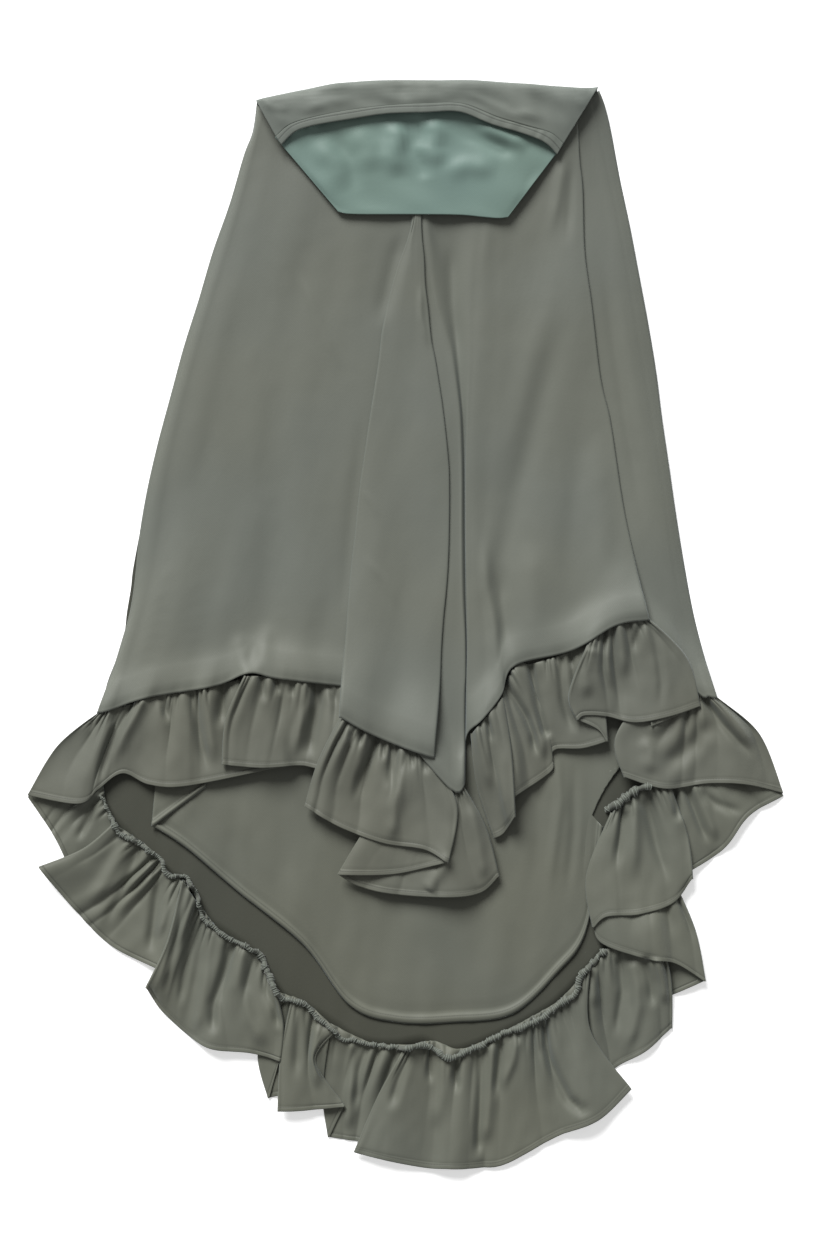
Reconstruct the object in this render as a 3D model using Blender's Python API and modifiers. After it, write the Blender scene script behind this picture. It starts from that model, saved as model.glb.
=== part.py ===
"""A khimar veil laid flat: a hooded cape with a gathered ruffle round its hem.

The cloth is drawn on a plan grid whose unit U is 1.05 mm, x to the right and y down the cape,
as a pattern cutter would trace the laid garment. Each cloth piece is a table of creases,
folds and edges, one row each, that a loft joins into one open sheet, thickened by Solidify.
Where the cloth doubles back the row has two levels, and the loft turns round it in a half
circle. The frame is metres, +Z up, the floor at Z = 0, the hood towards +Y.
"""

import math

import bpy
import numpy as np

# ---- driving dimensions ----
U = 0.00105  # metres in one unit of the plan grid
PLAN_X, PLAN_Y = 405.5, 625.5  # the plan point that lies on the origin
CLOTH = 0.0010  # cloth wall
HEM_CLOTH = 0.0018  # the face hem, folded double and stitched
FLOOR_LEVEL = 0.00055  # mid-plane of the lowest layer
STEP = 0.0016  # from one layer's mid-plane to the next
RUFFLE_GAP = 2.5  # plan units between the seam line and the ruffle's first row
PANEL_GAP = 1.0  # plan units between a body panel's edge and the seam line
RIDGE_RADIUS = 0.0020  # the overlocked seam allowance that stands on the inside
RIDGE_INSET = 3.2  # plan units from the seam line to the ridge's centre
TURN_STEPS = 4  # segments in the half circle where the cloth doubles back

for old in list(bpy.data.objects):
    bpy.data.objects.remove(old, do_unlink=True)
for old in list(bpy.data.collections):
    bpy.data.collections.remove(old)

veil = bpy.data.collections.new("khimar_veil")
bpy.context.scene.collection.children.link(veil)
root = bpy.data.objects.new("khimar_veil_root", None)
veil.objects.link(root)


def level(n):
    """Height of the n-th layer's mid-plane above the floor."""
    return FLOOR_LEVEL + STEP * n


def material(name, colour, roughness):
    made = bpy.data.materials.new(name)
    made.use_nodes = True
    shader = made.node_tree.nodes["Principled BSDF"]
    shader.inputs["Base Color"].default_value = (*colour, 1.0)
    shader.inputs["Roughness"].default_value = roughness
    shader.inputs["Metallic"].default_value = 0.0
    return made


GREY_GREEN = material("grey_green_satin", (0.165, 0.178, 0.156), 0.55)
PALE_TEAL = material("pale_teal_satin", (0.200, 0.285, 0.258), 0.42)
THREAD = material("overlock_thread", (0.205, 0.225, 0.200), 0.75)


def place(xy, z):
    """Plan points and heights as world coordinates."""
    xy = np.asarray(xy, float)
    return np.stack(
        [(xy[..., 0] - PLAN_X) * U, (PLAN_Y - xy[..., 1]) * U, np.broadcast_to(z, xy.shape[:-1])], -1
    )


def catmull(p0, p1, p2, p3, t):
    return 0.5 * (
        2 * p1 + (p2 - p0) * t + (2 * p0 - 5 * p1 + 4 * p2 - p3) * t**2 + (3 * p1 - p0 - 3 * p2 + p3) * t**3
    )


def smooth_path(points, per_span):
    """A smooth curve through plan points."""
    p = np.asarray(points, float)
    out = []
    for i in range(len(p) - 1):
        a, d = p[max(i - 1, 0)], p[min(i + 2, len(p) - 1)]
        out += [catmull(a, p[i], p[i + 1], d, k / per_span) for k in range(per_span)]
    return np.array(out + [p[-1]])


def spoke(seam, mid, hem, count, gap):
    """A crease from the seam through mid to the hem, as count + 1 points."""
    a, m, b = (np.asarray(v, float) for v in (seam, mid, hem))
    a = a + gap * (b - a) / np.linalg.norm(b - a)
    t = np.linspace(0, 1, count + 1)[:, None]
    return a * (1 - t) * (1 - 2 * t) + m * 4 * t * (1 - t) + b * t * (2 * t - 1)


def across(line, previous):
    """Unit plan vectors square to a crease, pointing the way the cloth was going."""
    along = np.gradient(line, axis=0)
    side = np.stack([-along[:, 1], along[:, 0]], 1)
    side /= np.linalg.norm(side, axis=1)[:, None]
    return side * np.sign(np.sum(side * (line - previous), axis=1).mean() or 1.0)


def columns(rows, per_run):
    """The sheet's columns of 3D points. A row is (line of plan points, z arriving, z leaving)."""
    lines, runs, start = [r[0] for r in rows], [], 0
    for i in range(1, len(rows)):
        if i == len(rows) - 1 or abs(rows[i][1] - rows[i][2]) > 1e-6:
            runs.append((start, i))
            start = i
    out = []
    for first, last in runs:
        pts, z = [], []
        for i in range(first, last + 1):
            line = lines[i].copy()
            turns = abs(rows[i][1] - rows[i][2]) > 1e-6 and 0 < i < len(rows) - 1
            if turns:
                radius = abs(rows[i][1] - rows[i][2]) / 2 / U
                line -= across(lines[i], lines[i - 1]) * radius
            pts.append(line)
            z.append(rows[i][2] if i == first else rows[i][1])
        for i in range(len(pts) - 1):
            a, d = pts[max(i - 1, 0)], pts[min(i + 2, len(pts) - 1)]
            for k in range(per_run + (i == len(pts) - 2)):
                t = k / per_run
                ease = t * t * (3 - 2 * t)
                out.append(place(catmull(a, pts[i], pts[i + 1], d, t), z[i] + (z[i + 1] - z[i]) * ease))
        if last < len(rows) - 1:
            low, high = rows[last][1], rows[last][2]
            radius, way = abs(high - low) / 2, across(lines[last], lines[last - 1])
            for k in range(1, TURN_STEPS):
                angle = math.pi * k / TURN_STEPS
                edge = lines[last] - way * (radius / U) * (1 - math.sin(angle))
                out.append(place(edge, (low + high) / 2 - (high - low) / 2 * math.cos(angle)))
    return np.array(out)


def sheet(name, grid, cloth, look):
    """One cloth piece: an open lofted surface with Solidify."""
    wide, tall = grid.shape[:2]
    mesh = bpy.data.meshes.new(name)
    quads = [
        (i * tall + j, i * tall + j + 1, (i + 1) * tall + j + 1, (i + 1) * tall + j)
        for i in range(wide - 1)
        for j in range(tall - 1)
    ]
    mesh.from_pydata(grid.reshape(-1, 3).tolist(), [], quads)
    mesh.shade_smooth()
    made = bpy.data.objects.new(name, mesh)
    made.data.materials.append(look)
    wall = made.modifiers.new("cloth", "SOLIDIFY")
    wall.thickness = cloth
    wall.offset = 0.0
    wall.use_even_offset = False
    veil.objects.link(made)
    made.parent = root
    return made


def strip(name, table, per_run, steps=4, drop=0.0, rise=0.0, gap=RUFFLE_GAP):
    """A ruffle: rows of seam, mid and hem plan points with the levels arriving and leaving.

    drop lowers the hem, and rise lifts the seam edge, in metres."""
    rows = [
        (spoke((sx, sy), (mx, my), (hx, hy), steps, gap), level(a), level(b))
        for _, sx, sy, mx, my, hx, hy, a, b in table
    ]
    grid = columns(rows, per_run)
    t = np.linspace(0, 1, steps + 1)
    grid[:, :, 2] += rise * (1 - np.minimum(t / 0.4, 1)) - drop * t
    return sheet(name, grid, CLOTH, GREY_GREEN)


# ---- the back panel, its inside up, flat on the floor ----
#        crease          top x,y    middle x,y   seam x,y
BACK = [
    ("left_outline", 262, 104, 166, 420, 100, 715),
    ("left_return", 268, 103, 180, 440, 101, 792),
    ("left_low", 276, 102, 205, 470, 131, 834),
    ("left_deep", 284, 101, 226, 485, 168, 871),
    ("left_turn", 290, 101, 238, 500, 186, 881),
    ("left_foot", 299, 100, 250, 520, 203, 914),
    ("foot_1", 312, 99, 280, 540, 257, 954),
    ("foot_2", 328, 98, 300, 560, 277, 990),
    ("foot_3", 346, 97, 330, 570, 319, 1013),
    ("foot_4", 366, 96, 360, 575, 362, 1040),
    ("centre_l", 390, 96, 392, 575, 394, 1044),
    ("centre", 408, 96, 415, 575, 424, 1040),
    ("centre_m", 426, 96, 440, 575, 453, 1051),
    ("centre_r", 448, 96, 470, 575, 506, 1031),
    ("foot_5", 474, 96, 505, 565, 549, 1006),
    ("foot_6", 500, 96, 530, 550, 584, 971),
    ("foot_7", 524, 96, 555, 530, 604, 946),
    ("right_foot", 546, 96, 575, 510, 636, 900),
    ("right_deep", 564, 96, 600, 480, 650, 845),
    ("right_low", 580, 97, 625, 450, 654, 797),
    ("right_return", 590, 98, 648, 430, 690, 742),
    ("right_outline", 596, 100, 664, 420, 714, 700),
]
rows = []
for _, tx, ty, mx, my, sx, sy in BACK:
    line = spoke((tx, ty), (mx, my), (sx, sy), 5, 0.0)
    line[-1] -= PANEL_GAP * (line[-1] - line[-2]) / np.linalg.norm(line[-1] - line[-2])
    rows.append((line, CLOTH / 2, CLOTH / 2))
sheet("back_panel", columns(rows, 1), CLOTH, GREY_GREEN)

# ---- the inner veil layer, with its own narrow hem, on the back panel ----
#        crease          top x,y    middle x,y   hem x,y    level in, out
INNER = [
    ("flap_edge", 262, 300, 226, 560, 206, 787, 2, 2),
    ("left_fold", 222, 300, 176, 580, 152, 826, 2, 1),
    ("left", 240, 300, 206, 600, 187, 848, 1, 1),
    ("left_low", 268, 300, 250, 620, 240, 893, 1, 1),
    ("left_foot", 300, 300, 300, 650, 304, 945, 1, 1),
    ("foot", 332, 300, 338, 680, 350, 1005, 1, 1),
    ("centre_l", 365, 300, 380, 690, 396, 1022, 1, 1),
    ("centre_r", 420, 300, 440, 690, 454, 1022, 1, 1),
    ("right_foot", 470, 300, 495, 680, 512, 1014, 1, 1),
    ("right_low", 510, 300, 530, 660, 556, 974, 1, 1),
    ("right", 540, 300, 562, 640, 586, 930, 1, 1),
    ("right_edge", 562, 300, 580, 600, 602, 826, 1, 1),
]
strip("inner_panel", INNER, 1, steps=5, gap=0.0)

# ---- the front panel: x of each crease down the cape, then where it meets the seam ----
STATIONS = (112, 215, 340, 460, 580)
#        crease           x112 x215 x340 x460 x580  seam x,y   level in, out
FRONT = [
    ("left_outline", 257, 227, 188, 155, 137, 98, 713, 1.3, 1.3),
    ("left_shoulder", 264, 236, 198, 166, 149, 112, 710, 4.6, 4.6),
    ("left_flat", 284, 260, 226, 196, 180, 146, 699, 6, 6),
    ("left_crease", 306, 290, 268, 250, 240, 214, 687, 6, 6),
    ("left_middle", 345, 335, 318, 306, 298, 280, 678, 6, 6),
    ("under_pleat", 409, 414, 396, 386, 382, 376, 690, 6, 7),
    ("pleat_left", 402, 407, 383, 364, 351, 340, 717, 7, 8),
    ("pleat_middle", 411, 415, 408, 406, 400, 390, 745, 8.2, 8.2),
    ("pleat_right", 421, 425, 432, 448, 447, 435, 760, 8, 7),
    ("under_second", 414, 418.5, 412, 420, 416, 408, 764, 7, 6),
    ("second_right", 428, 433, 447, 460, 461, 463, 786, 6.4, 6.4),
    ("deep_gap", 440, 450, 460, 464.5, 465.5, 466.5, 760, 3.6, 3.6),
    ("right_left_edge", 452, 474, 471.5, 469.5, 470.5, 470, 731, 6.4, 6.4),
    ("right_wave", 480, 492, 493, 490, 492, 503, 690, 6.4, 6.4),
    ("right_hollow", 505, 515, 520, 515, 512, 517, 667, 5.7, 5.7),
    ("right_middle", 540, 548, 556, 562, 568, 572, 650, 6.1, 6.1),
    ("right_fold", 574, 583, 596, 616, 638, 648, 620, 6, 5),
    ("under_right", 558, 565, 577, 595, 616, 624, 634, 5, 4),
    ("side_flat", 586, 608, 628, 648, 666, 694, 690, 3.7, 3.7),
    ("right_outline", 603, 627, 650, 669, 686, 716, 698, 1.3, 1.3),
]
rows = []
for _, *xs, sx, sy, a, b in FRONT:
    steps = [(x, y) for x, y in zip(xs, STATIONS)]
    if sy > 640:
        steps.append((xs[-1] + (sx - xs[-1]) * 0.45, STATIONS[-1] + (sy - STATIONS[-1]) * 0.5))
    else:
        steps.append((xs[-1] + (sx - xs[-1]) * 0.5, STATIONS[-1] + (sy - STATIONS[-1]) * 0.5))
    steps.append((sx, sy - PANEL_GAP))
    rows.append((np.array(steps, float), level(a), level(b)))
sheet("front_panel", columns(rows, 2), CLOTH, GREY_GREEN)

# ---- the front ruffle, left part: from the left outline to under the centre pleat ----
#        crease        seam x,y   middle x,y  hem x,y   level in, out
RUFFLE_LEFT = [
    ("outline", 98, 714, 58, 746, 28, 795, 3.4, 3.4),
    ("crest_1", 112, 711, 97, 755, 80, 803, 5.6, 5.6),
    ("valley_1", 131, 706, 109, 750, 99, 789, 4.6, 4.6),
    ("crest_2", 146, 700, 130, 738, 123, 773, 6.4, 6.4),
    ("valley_2", 166, 696, 158, 742, 150, 784, 5.4, 5.4),
    ("crest_3", 190, 693, 190, 740, 190, 785, 6.2, 6.2),
    ("under_1", 258, 678, 270, 722, 282, 766, 6, 7),
    ("edge_2", 245, 678, 227, 718, 223, 764, 7, 8),
    ("crest_4", 280, 679, 272, 722, 262, 767, 8, 8),
    ("valley_3", 309, 681, 304, 725, 298, 765, 5.6, 5.6),
    ("crest_5", 325, 682, 318, 725, 313, 767, 6, 6),
    ("tucked_end", 352, 690, 350, 735, 346, 776, 5.8, 5.8),
]
strip("front_ruffle_left", RUFFLE_LEFT, 2, drop=0.0028)

# ---- the front ruffle, centre part: on the centre pleat, with the second pleat's below ----
RUFFLE_CENTRE = [
    ("tucked_start", 368, 724, 362, 770, 358, 815, 7, 7),
    ("edge_left", 340, 718, 318, 762, 305, 806, 7, 8),
    ("valley_1", 366, 731, 350, 785, 340, 826, 8.2, 8.2),
    ("crest_1", 396, 747, 392, 795, 384, 842, 8.6, 8.6),
    ("crest_2", 418, 755, 424, 800, 424, 848, 8.2, 8.2),
    ("edge_right", 435, 761, 457, 806, 448, 861, 8, 7),
    ("under_middle", 424, 765, 412, 818, 395, 872, 6.9, 6.9),
    ("tucked_left", 412, 768, 376, 819, 338, 873, 7, 6),
    ("second_left", 419, 773, 386, 836, 358, 885, 6.2, 6.2),
    ("second_1", 428, 778, 411, 834, 392, 893, 6.2, 6.2),
    ("second_2", 448, 787, 446, 838, 446, 896, 6.2, 6.2),
    ("second_3", 457, 788, 470, 840, 480, 891, 6.2, 6.2),
    ("second_edge", 464, 787, 486, 828, 499, 876, 6, 5),
    ("second_under", 456, 789, 462, 830, 466, 872, 5, 5),
]
strip("front_ruffle_centre", RUFFLE_CENTRE, 2)

# ---- the front ruffle, right part: up the short right side of the opening ----
RUFFLE_RIGHT = [
    ("under_a", 485, 727, 491, 778, 503, 824, 5, 5),
    ("edge_a", 471, 736, 477, 785, 494, 838, 5, 6),
    ("crest_a", 484, 721, 494, 775, 504, 832, 6.5, 6.5),
    ("edge_a_right", 503, 700, 511, 752, 515, 816, 6, 5),
    ("under_b", 496, 712, 498, 752, 506, 800, 5, 4),
    ("edge_b", 515, 668, 543, 722, 550, 772, 4.6, 4.6),
    ("gap_b_c", 530, 667, 540, 716, 551, 758, 2.6, 2.6),
    ("edge_c", 541, 664, 546, 714, 556, 749, 4.8, 4.8),
    ("flat_c", 560, 658, 570, 702, 582, 748, 5, 5),
    ("under_d", 598, 640, 603, 692, 607, 741, 5, 6),
    ("edge_d", 586, 646, 568, 693, 576, 721, 6, 7),
    ("valley_d", 603, 630, 602, 672, 604, 713, 7.2, 7.2),
    ("crest_d", 620, 623, 627, 672, 634, 722, 7.4, 7.4),
    ("crest_e", 636, 621, 656, 666, 668, 716, 7.2, 7.2),
    ("edge_e", 648, 620, 686, 658, 699, 706, 7, 6),
    ("under_e", 632, 628, 642, 680, 650, 726, 6, 6),
]
strip("front_ruffle_right", RUFFLE_RIGHT, 2)

# ---- the side ruffle: below the folded side of the front, out to the right outline ----
RUFFLE_SIDE = [
    ("under_left", 674, 686, 650, 735, 648, 772, 4, 4),
    ("edge_left", 656, 680, 615, 735, 623, 777, 4, 5),
    ("crest_1", 680, 689, 668, 735, 664, 788, 5, 5),
    ("valley_1", 698, 694, 708, 738, 708, 783, 5, 5),
    ("crest_2", 708, 697, 736, 732, 745, 784, 4.8, 4.8),
    ("outline", 717, 699, 759, 734, 783, 793, 1.6, 1.6),
]
strip("side_ruffle", RUFFLE_SIDE, 2, rise=-0.0010)

# ---- the back ruffle, its inside up, from the right outline round the foot to the left ----
RUFFLE_BACK = [
    ("right_outline", 717, 702, 759, 738, 783, 796, 0, 0),
    ("right_1", 700, 732, 727, 782, 748, 816, 0, 0),
    ("right_2", 684, 760, 706, 812, 722, 850, 0, 0),
    ("tucked_1", 658, 800, 668, 838, 683, 874, 0, 1),
    ("edge_d", 671, 790, 687, 836, 692, 878, 1, 4),
    ("crest_d1", 650, 789, 668, 848, 672, 902, 4.2, 4.2),
    ("crest_d2", 630, 797, 636, 855, 638, 913, 4, 4),
    ("fold_d_left", 610, 815, 586, 875, 591, 931, 4, 3),
    ("flat_e", 634, 845, 640, 900, 644, 958, 3, 3),
    ("fold_e_right", 676, 886, 695, 930, 705, 980, 3, 0),
    ("tucked_2", 642, 930, 652, 960, 660, 1000, 0, 1),
    ("fold_g_right", 655, 925, 670, 975, 672, 1028, 1, 2),
    ("crest_g", 630, 940, 640, 990, 646, 1050, 2, 2),
    ("crest_g2", 608, 950, 612, 1004, 618, 1066, 2, 2),
    ("tucked_3", 576, 990, 586, 1034, 598, 1082, 2, 3),
    ("fold_h_right", 590, 970, 590, 1030, 631, 1088, 3, 4),
    ("crest_h", 562, 1000, 580, 1060, 600, 1117, 4, 4),
    ("valley_h", 540, 1014, 548, 1080, 556, 1136, 3.6, 3.6),
    ("crest_i", 510, 1030, 510, 1098, 506, 1163, 3.8, 3.8),
    ("gap_i_j", 484, 1043, 482, 1102, 479, 1167, 2.4, 2.4),
    ("crest_j", 458, 1051, 452, 1110, 446, 1167, 3, 3),
    ("valley_j", 432, 1043, 428, 1105, 420, 1166, 2.2, 2.2),
    ("fold_j_left", 404, 1047, 378, 1095, 354, 1151, 2, 1),
    ("tucked_4", 420, 1047, 406, 1098, 390, 1145, 1, 0),
    ("flat_k", 372, 1045, 358, 1092, 350, 1140, 0, 0),
    ("fold_k_left", 330, 1026, 322, 1085, 328, 1137, 0, 1),
    ("fold_l_right", 338, 1032, 316, 1060, 345, 1105, 1, 2),
    ("crest_l", 310, 1008, 306, 1060, 306, 1109, 2.2, 2.2),
    ("fold_l_left", 292, 998, 281, 1052, 278, 1110, 2, 1),
    ("tucked_5", 302, 1002, 298, 1046, 300, 1090, 1, 0),
    ("fold_m_left", 278, 994, 258, 1050, 268, 1098, 0, 1),
    ("fold_n_right", 276, 988, 284, 1024, 281, 1060, 1, 2),
    ("crest_n1", 252, 953, 240, 1000, 250, 1052, 2.2, 2.2),
    ("crest_n2", 220, 933, 208, 990, 204, 1045, 2, 2),
    ("valley_n3", 200, 908, 176, 968, 164, 1013, 2, 2),
    ("fold_n_left", 182, 882, 168, 940, 146, 987, 2, 1),
    ("tucked_6", 190, 888, 182, 930, 168, 972, 1, 0),
    ("flat_o", 168, 874, 140, 915, 112, 946, 0, 0),
    ("crest_o", 150, 851, 108, 886, 72, 906, 1.4, 1.4),
    ("fold_o_left", 112, 824, 84, 848, 40, 866, 2, 1),
    ("tucked_7", 116, 830, 94, 860, 74, 880, 1, 0),
    ("flat_p", 103, 798, 76, 822, 58, 842, 0, 0),
    ("left_outline", 98, 717, 60, 748, 28, 797, 0, 0),
]
strip("back_ruffle", RUFFLE_BACK, 2)


def ridge(name, points, z, per_span=3):
    """The overlocked seam allowance: a round cord of cloth and thread along the seam."""
    path = smooth_path(points, per_span)
    curve = bpy.data.curves.new(name, "CURVE")
    curve.dimensions = "3D"
    curve.bevel_depth = RIDGE_RADIUS
    curve.bevel_resolution = 1
    curve.use_fill_caps = True
    line = curve.splines.new("POLY")
    line.points.add(len(path) - 1)
    for point, at in zip(line.points, place(path, z)):
        point.co = (*at, 1.0)
    made = bpy.data.objects.new(name, curve)
    made.data.materials.append(THREAD)
    veil.objects.link(made)
    made.parent = root
    return made


# ---- the seam allowance on the inside of the back seam, and on its folded right end ----
SEAM_BACK = [(row[5], row[6]) for row in BACK[1:17]]
inset = []
for i, at in enumerate(SEAM_BACK):
    before, after = SEAM_BACK[max(i - 1, 0)], SEAM_BACK[min(i + 1, len(SEAM_BACK) - 1)]
    run = np.subtract(after, before)
    inset.append(np.add(at, RIDGE_INSET * np.array([run[1], -run[0]]) / np.linalg.norm(run)))
ridge("back_seam", inset, CLOTH + 0.0003 + RIDGE_RADIUS, 2)
SEAM_SIDE = [(605, 809), (613, 802), (621, 795), (630, 790), (640, 786)]
ridge("side_seam", SEAM_SIDE, level(3.8), 2)

# ---- the hood: crown, from the face hem up over the top fold and down to the floor ----
#        column        hem x,y    top x,y    height over the lining
CROWN = [
    ("left_edge", 277, 140, 257, 103.5, 0.0010),
    ("left_inner", 290, 129, 268, 101, 0.0042),
    ("left", 311, 122, 296, 95, 0.0056),
    ("left_middle", 347, 115, 340, 87, 0.0060),
    ("centre_left", 385, 110, 388, 84, 0.0060),
    ("centre", 425, 108, 430, 84, 0.0060),
    ("centre_right", 462, 108, 470, 84, 0.0060),
    ("right_middle", 496, 121, 516, 87, 0.0060),
    ("right", 526, 130, 556, 90, 0.0056),
    ("right_inner", 549, 137, 583, 91.5, 0.0042),
    ("right_edge", 562, 147.5, 597, 90.5, 0.0010),
]
LINING_Z = 0.0174
LINING_TURN = 0.0011  # radius of the lining's bottom fold
crown = []
for _, hx, hy, tx, ty, over in CROWN:
    near = LINING_Z + CLOTH + over
    hem, top = np.array([hx, hy], float), np.array([tx, ty], float)
    crown.append(
        np.concatenate(
            [
                place([hem], near),
                place([hem * 0.5 + top * 0.5], near + 0.0004),
                place([hem * 0.12 + top * 0.88], near - 0.0004),
                place([top + (0, -0.2)], near * 0.80),
                place([top + (0, -0.4)], near * 0.50),
                place([top + (0, 1.0)], near * 0.22),
                place([top + (0, 5.0)], 0.0021),
            ]
        )
    )
sheet("hood_crown", np.array(crown), CLOTH, GREY_GREEN)

# ---- the face hem: the crown's edge turned in and stitched, round the face opening ----
#        column        upper x,y    lower x,y
HEM = [
    ("left_edge", 277.8, 141.2, 282, 147.5),
    ("left_inner", 291.4, 130.2, 295.5, 135.2),
    ("left", 312, 123.4, 314, 129),
    ("left_middle", 347, 116.4, 348, 123),
    ("centre_left", 385, 111.4, 385, 117.4),
    ("centre", 425, 109.4, 424, 116),
    ("centre_right", 461, 109.4, 459, 115.4),
    ("right_middle", 495, 122.4, 491, 127.6),
    ("right", 525, 131.4, 522, 136.6),
    ("right_inner", 548.2, 138.4, 544, 145.5),
    ("right_edge", 561, 148.8, 556.5, 157),
]
hem = []
for (_, ux, uy, lx, ly), (*_, over) in zip(HEM, CROWN):
    hem.append(np.concatenate([place([(ux, uy)], LINING_Z + CLOTH + over + 0.0004), place([(lx, ly)], LINING_Z + CLOTH + over + 0.0004)]))
sheet("face_hem", np.array(hem), HEM_CLOTH, GREY_GREEN)

# ---- the hood's lining, seen through the face opening, folded under along its foot ----
#        column        top x,y    foot x,y    drop at the column
LINING = [
    ("left_edge", 276, 140, 338, 213, 0.0010),
    ("left_inner", 281, 127, 346, 215, 0.0002),
    ("left", 302, 110, 362, 215.5, 0.0),
    ("left_middle", 350, 102, 385, 215.5, 0.0),
    ("centre", 425, 100, 422, 215.5, 0.0),
    ("right_middle", 500, 100, 460, 216, 0.0),
    ("right", 540, 106, 482, 218, 0.0),
    ("right_inner", 556, 126, 498, 219.5, 0.0002),
    ("right_edge", 562.5, 147, 508, 218.5, 0.0010),
]
lining = []
for _, tx, ty, fx, fy, sink in LINING:
    top, foot = np.array([tx, ty], float), np.array([fx, fy], float)
    down = (foot - top) / np.linalg.norm(foot - top)
    turn = LINING_TURN / U
    column = [place([top + (foot - down * turn - top) * t], LINING_Z - sink) for t in np.linspace(0, 1, 5)]
    for k in range(1, TURN_STEPS):
        angle = math.pi * k / TURN_STEPS
        column.append(
            place([foot - down * turn * (1 - math.sin(angle))], LINING_Z - sink - LINING_TURN * (1 - math.cos(angle)))
        )
    column += [place([foot - down * (turn + back)], LINING_Z - sink - 2 * LINING_TURN) for back in (0, 14, 30)]
    lining.append(np.concatenate(column))
sheet("hood_lining", np.array(lining), CLOTH, PALE_TEAL)
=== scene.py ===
"""The looks of a khimar veil laid flat: satin cloth, gathered ruffles, hems and overlocked seams.

The cloth is traced on the same plan grid as the part, in units of 1.05 mm, x to the right and
y down the cape. Each piece is a table of creases and folds, lofted into runs of cloth. The runs
are laid one after another from the lowest up: each rests on the height of what lies below it,
keeps its own gathers and creases, and is joined to the next run by a rounded fold.
"""

import math

import bpy
import numpy as np
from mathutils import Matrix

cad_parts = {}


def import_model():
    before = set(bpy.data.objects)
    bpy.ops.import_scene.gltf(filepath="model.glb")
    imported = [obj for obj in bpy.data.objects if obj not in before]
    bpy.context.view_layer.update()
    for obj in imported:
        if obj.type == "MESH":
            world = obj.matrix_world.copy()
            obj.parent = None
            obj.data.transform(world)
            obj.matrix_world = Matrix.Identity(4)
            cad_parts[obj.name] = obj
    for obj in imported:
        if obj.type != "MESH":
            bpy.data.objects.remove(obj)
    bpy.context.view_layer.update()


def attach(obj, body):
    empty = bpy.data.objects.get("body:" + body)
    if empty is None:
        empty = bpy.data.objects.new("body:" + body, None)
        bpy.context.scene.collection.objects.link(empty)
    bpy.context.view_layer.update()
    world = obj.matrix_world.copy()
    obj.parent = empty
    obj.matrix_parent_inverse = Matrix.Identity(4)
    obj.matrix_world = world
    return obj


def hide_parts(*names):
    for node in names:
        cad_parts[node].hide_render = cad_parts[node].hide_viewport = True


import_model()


U = 0.00105  # metres in one unit of the plan grid
PLAN_X, PLAN_Y = 405.5, 625.5  # the plan point that lies on the origin
FLOOR_LEVEL, STEP = 0.00055, 0.0016  # heights of the layers
CLOTH = 0.0006  # thickness of the satin
LAYER = 0.0010  # least distance between two layers' mid-planes
GRID_X, GRID_Y = (0, 832), (60, 1200)  # the part of the plan that the height map covers


def level(n):
    return FLOOR_LEVEL + STEP * n


# ---- smooth randomness ----
def noise_1d(s, wavelength, seed):
    """A smooth random curve from -1 to 1 along s."""
    knots = np.random.default_rng(seed).uniform(-1, 1, 4096)
    at = np.asarray(s, float) / (wavelength / 2) + 100.0
    i = np.floor(at).astype(int)
    f = at - i
    f = f * f * (3 - 2 * f)
    return knots[i % 4096] * (1 - f) + knots[(i + 1) % 4096] * f


def field(wave_x, wave_y, seed, turn=0.0):
    """A smooth random height map over the plan, with wavelengths along and across its grain."""
    tall, wide = 320, 256
    rng = np.random.default_rng(seed)
    spectrum = np.fft.fft2(rng.normal(size=(tall, wide)))
    fy, fx = np.meshgrid(np.fft.fftfreq(tall, 4.0), np.fft.fftfreq(wide, 4.0), indexing="ij")
    c, s = math.cos(turn), math.sin(turn)
    gx, gy = fx * c + fy * s, -fx * s + fy * c
    radius = np.sqrt((gx * wave_x) ** 2 + (gy * wave_y) ** 2)
    band = np.exp(-((radius - 1.0) ** 2) / 0.35)
    out = np.real(np.fft.ifft2(spectrum * band))
    return out / np.abs(out).std() / 2.5


def sample_field(values, xy):
    """A random field, made on a grid of 4 units, at plan points."""
    tall, wide = values.shape
    x, y = np.asarray(xy[..., 0]) / 4.0, np.asarray(xy[..., 1]) / 4.0
    i, j = np.floor(y).astype(int), np.floor(x).astype(int)
    fy, fx = y - i, x - j
    fy, fx = fy * fy * (3 - 2 * fy), fx * fx * (3 - 2 * fx)
    a, b = values[i % tall, j % wide], values[i % tall, (j + 1) % wide]
    c, d = values[(i + 1) % tall, j % wide], values[(i + 1) % tall, (j + 1) % wide]
    return (a * (1 - fx) + b * fx) * (1 - fy) + (c * (1 - fx) + d * fx) * fy


# ---- plan geometry ----
def world(xy, z):
    xy = np.asarray(xy, float)
    return np.stack(
        [(xy[..., 0] - PLAN_X) * U, (PLAN_Y - xy[..., 1]) * U, np.broadcast_to(z, xy.shape[:-1])], -1
    )


def catmull(p0, p1, p2, p3, t):
    return 0.5 * (
        2 * p1 + (p2 - p0) * t + (2 * p0 - 5 * p1 + 4 * p2 - p3) * t**2 + (3 * p1 - p0 - 3 * p2 + p3) * t**3
    )


def curve(points, ts):
    """Points at the fractions ts of the length of a smooth curve through plan points."""
    p = np.asarray(points, float)
    dense = []
    for i in range(len(p) - 1):
        a, d = p[max(i - 1, 0)], p[min(i + 2, len(p) - 1)]
        dense += [catmull(a, p[i], p[i + 1], d, k / 12) for k in range(12)]
    dense = np.array(dense + [p[-1]])
    run = np.concatenate([[0], np.cumsum(np.linalg.norm(np.diff(dense, axis=0), axis=1))])
    at = np.asarray(ts) * run[-1]
    return np.stack([np.interp(at, run, dense[:, 0]), np.interp(at, run, dense[:, 1])], 1)


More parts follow.
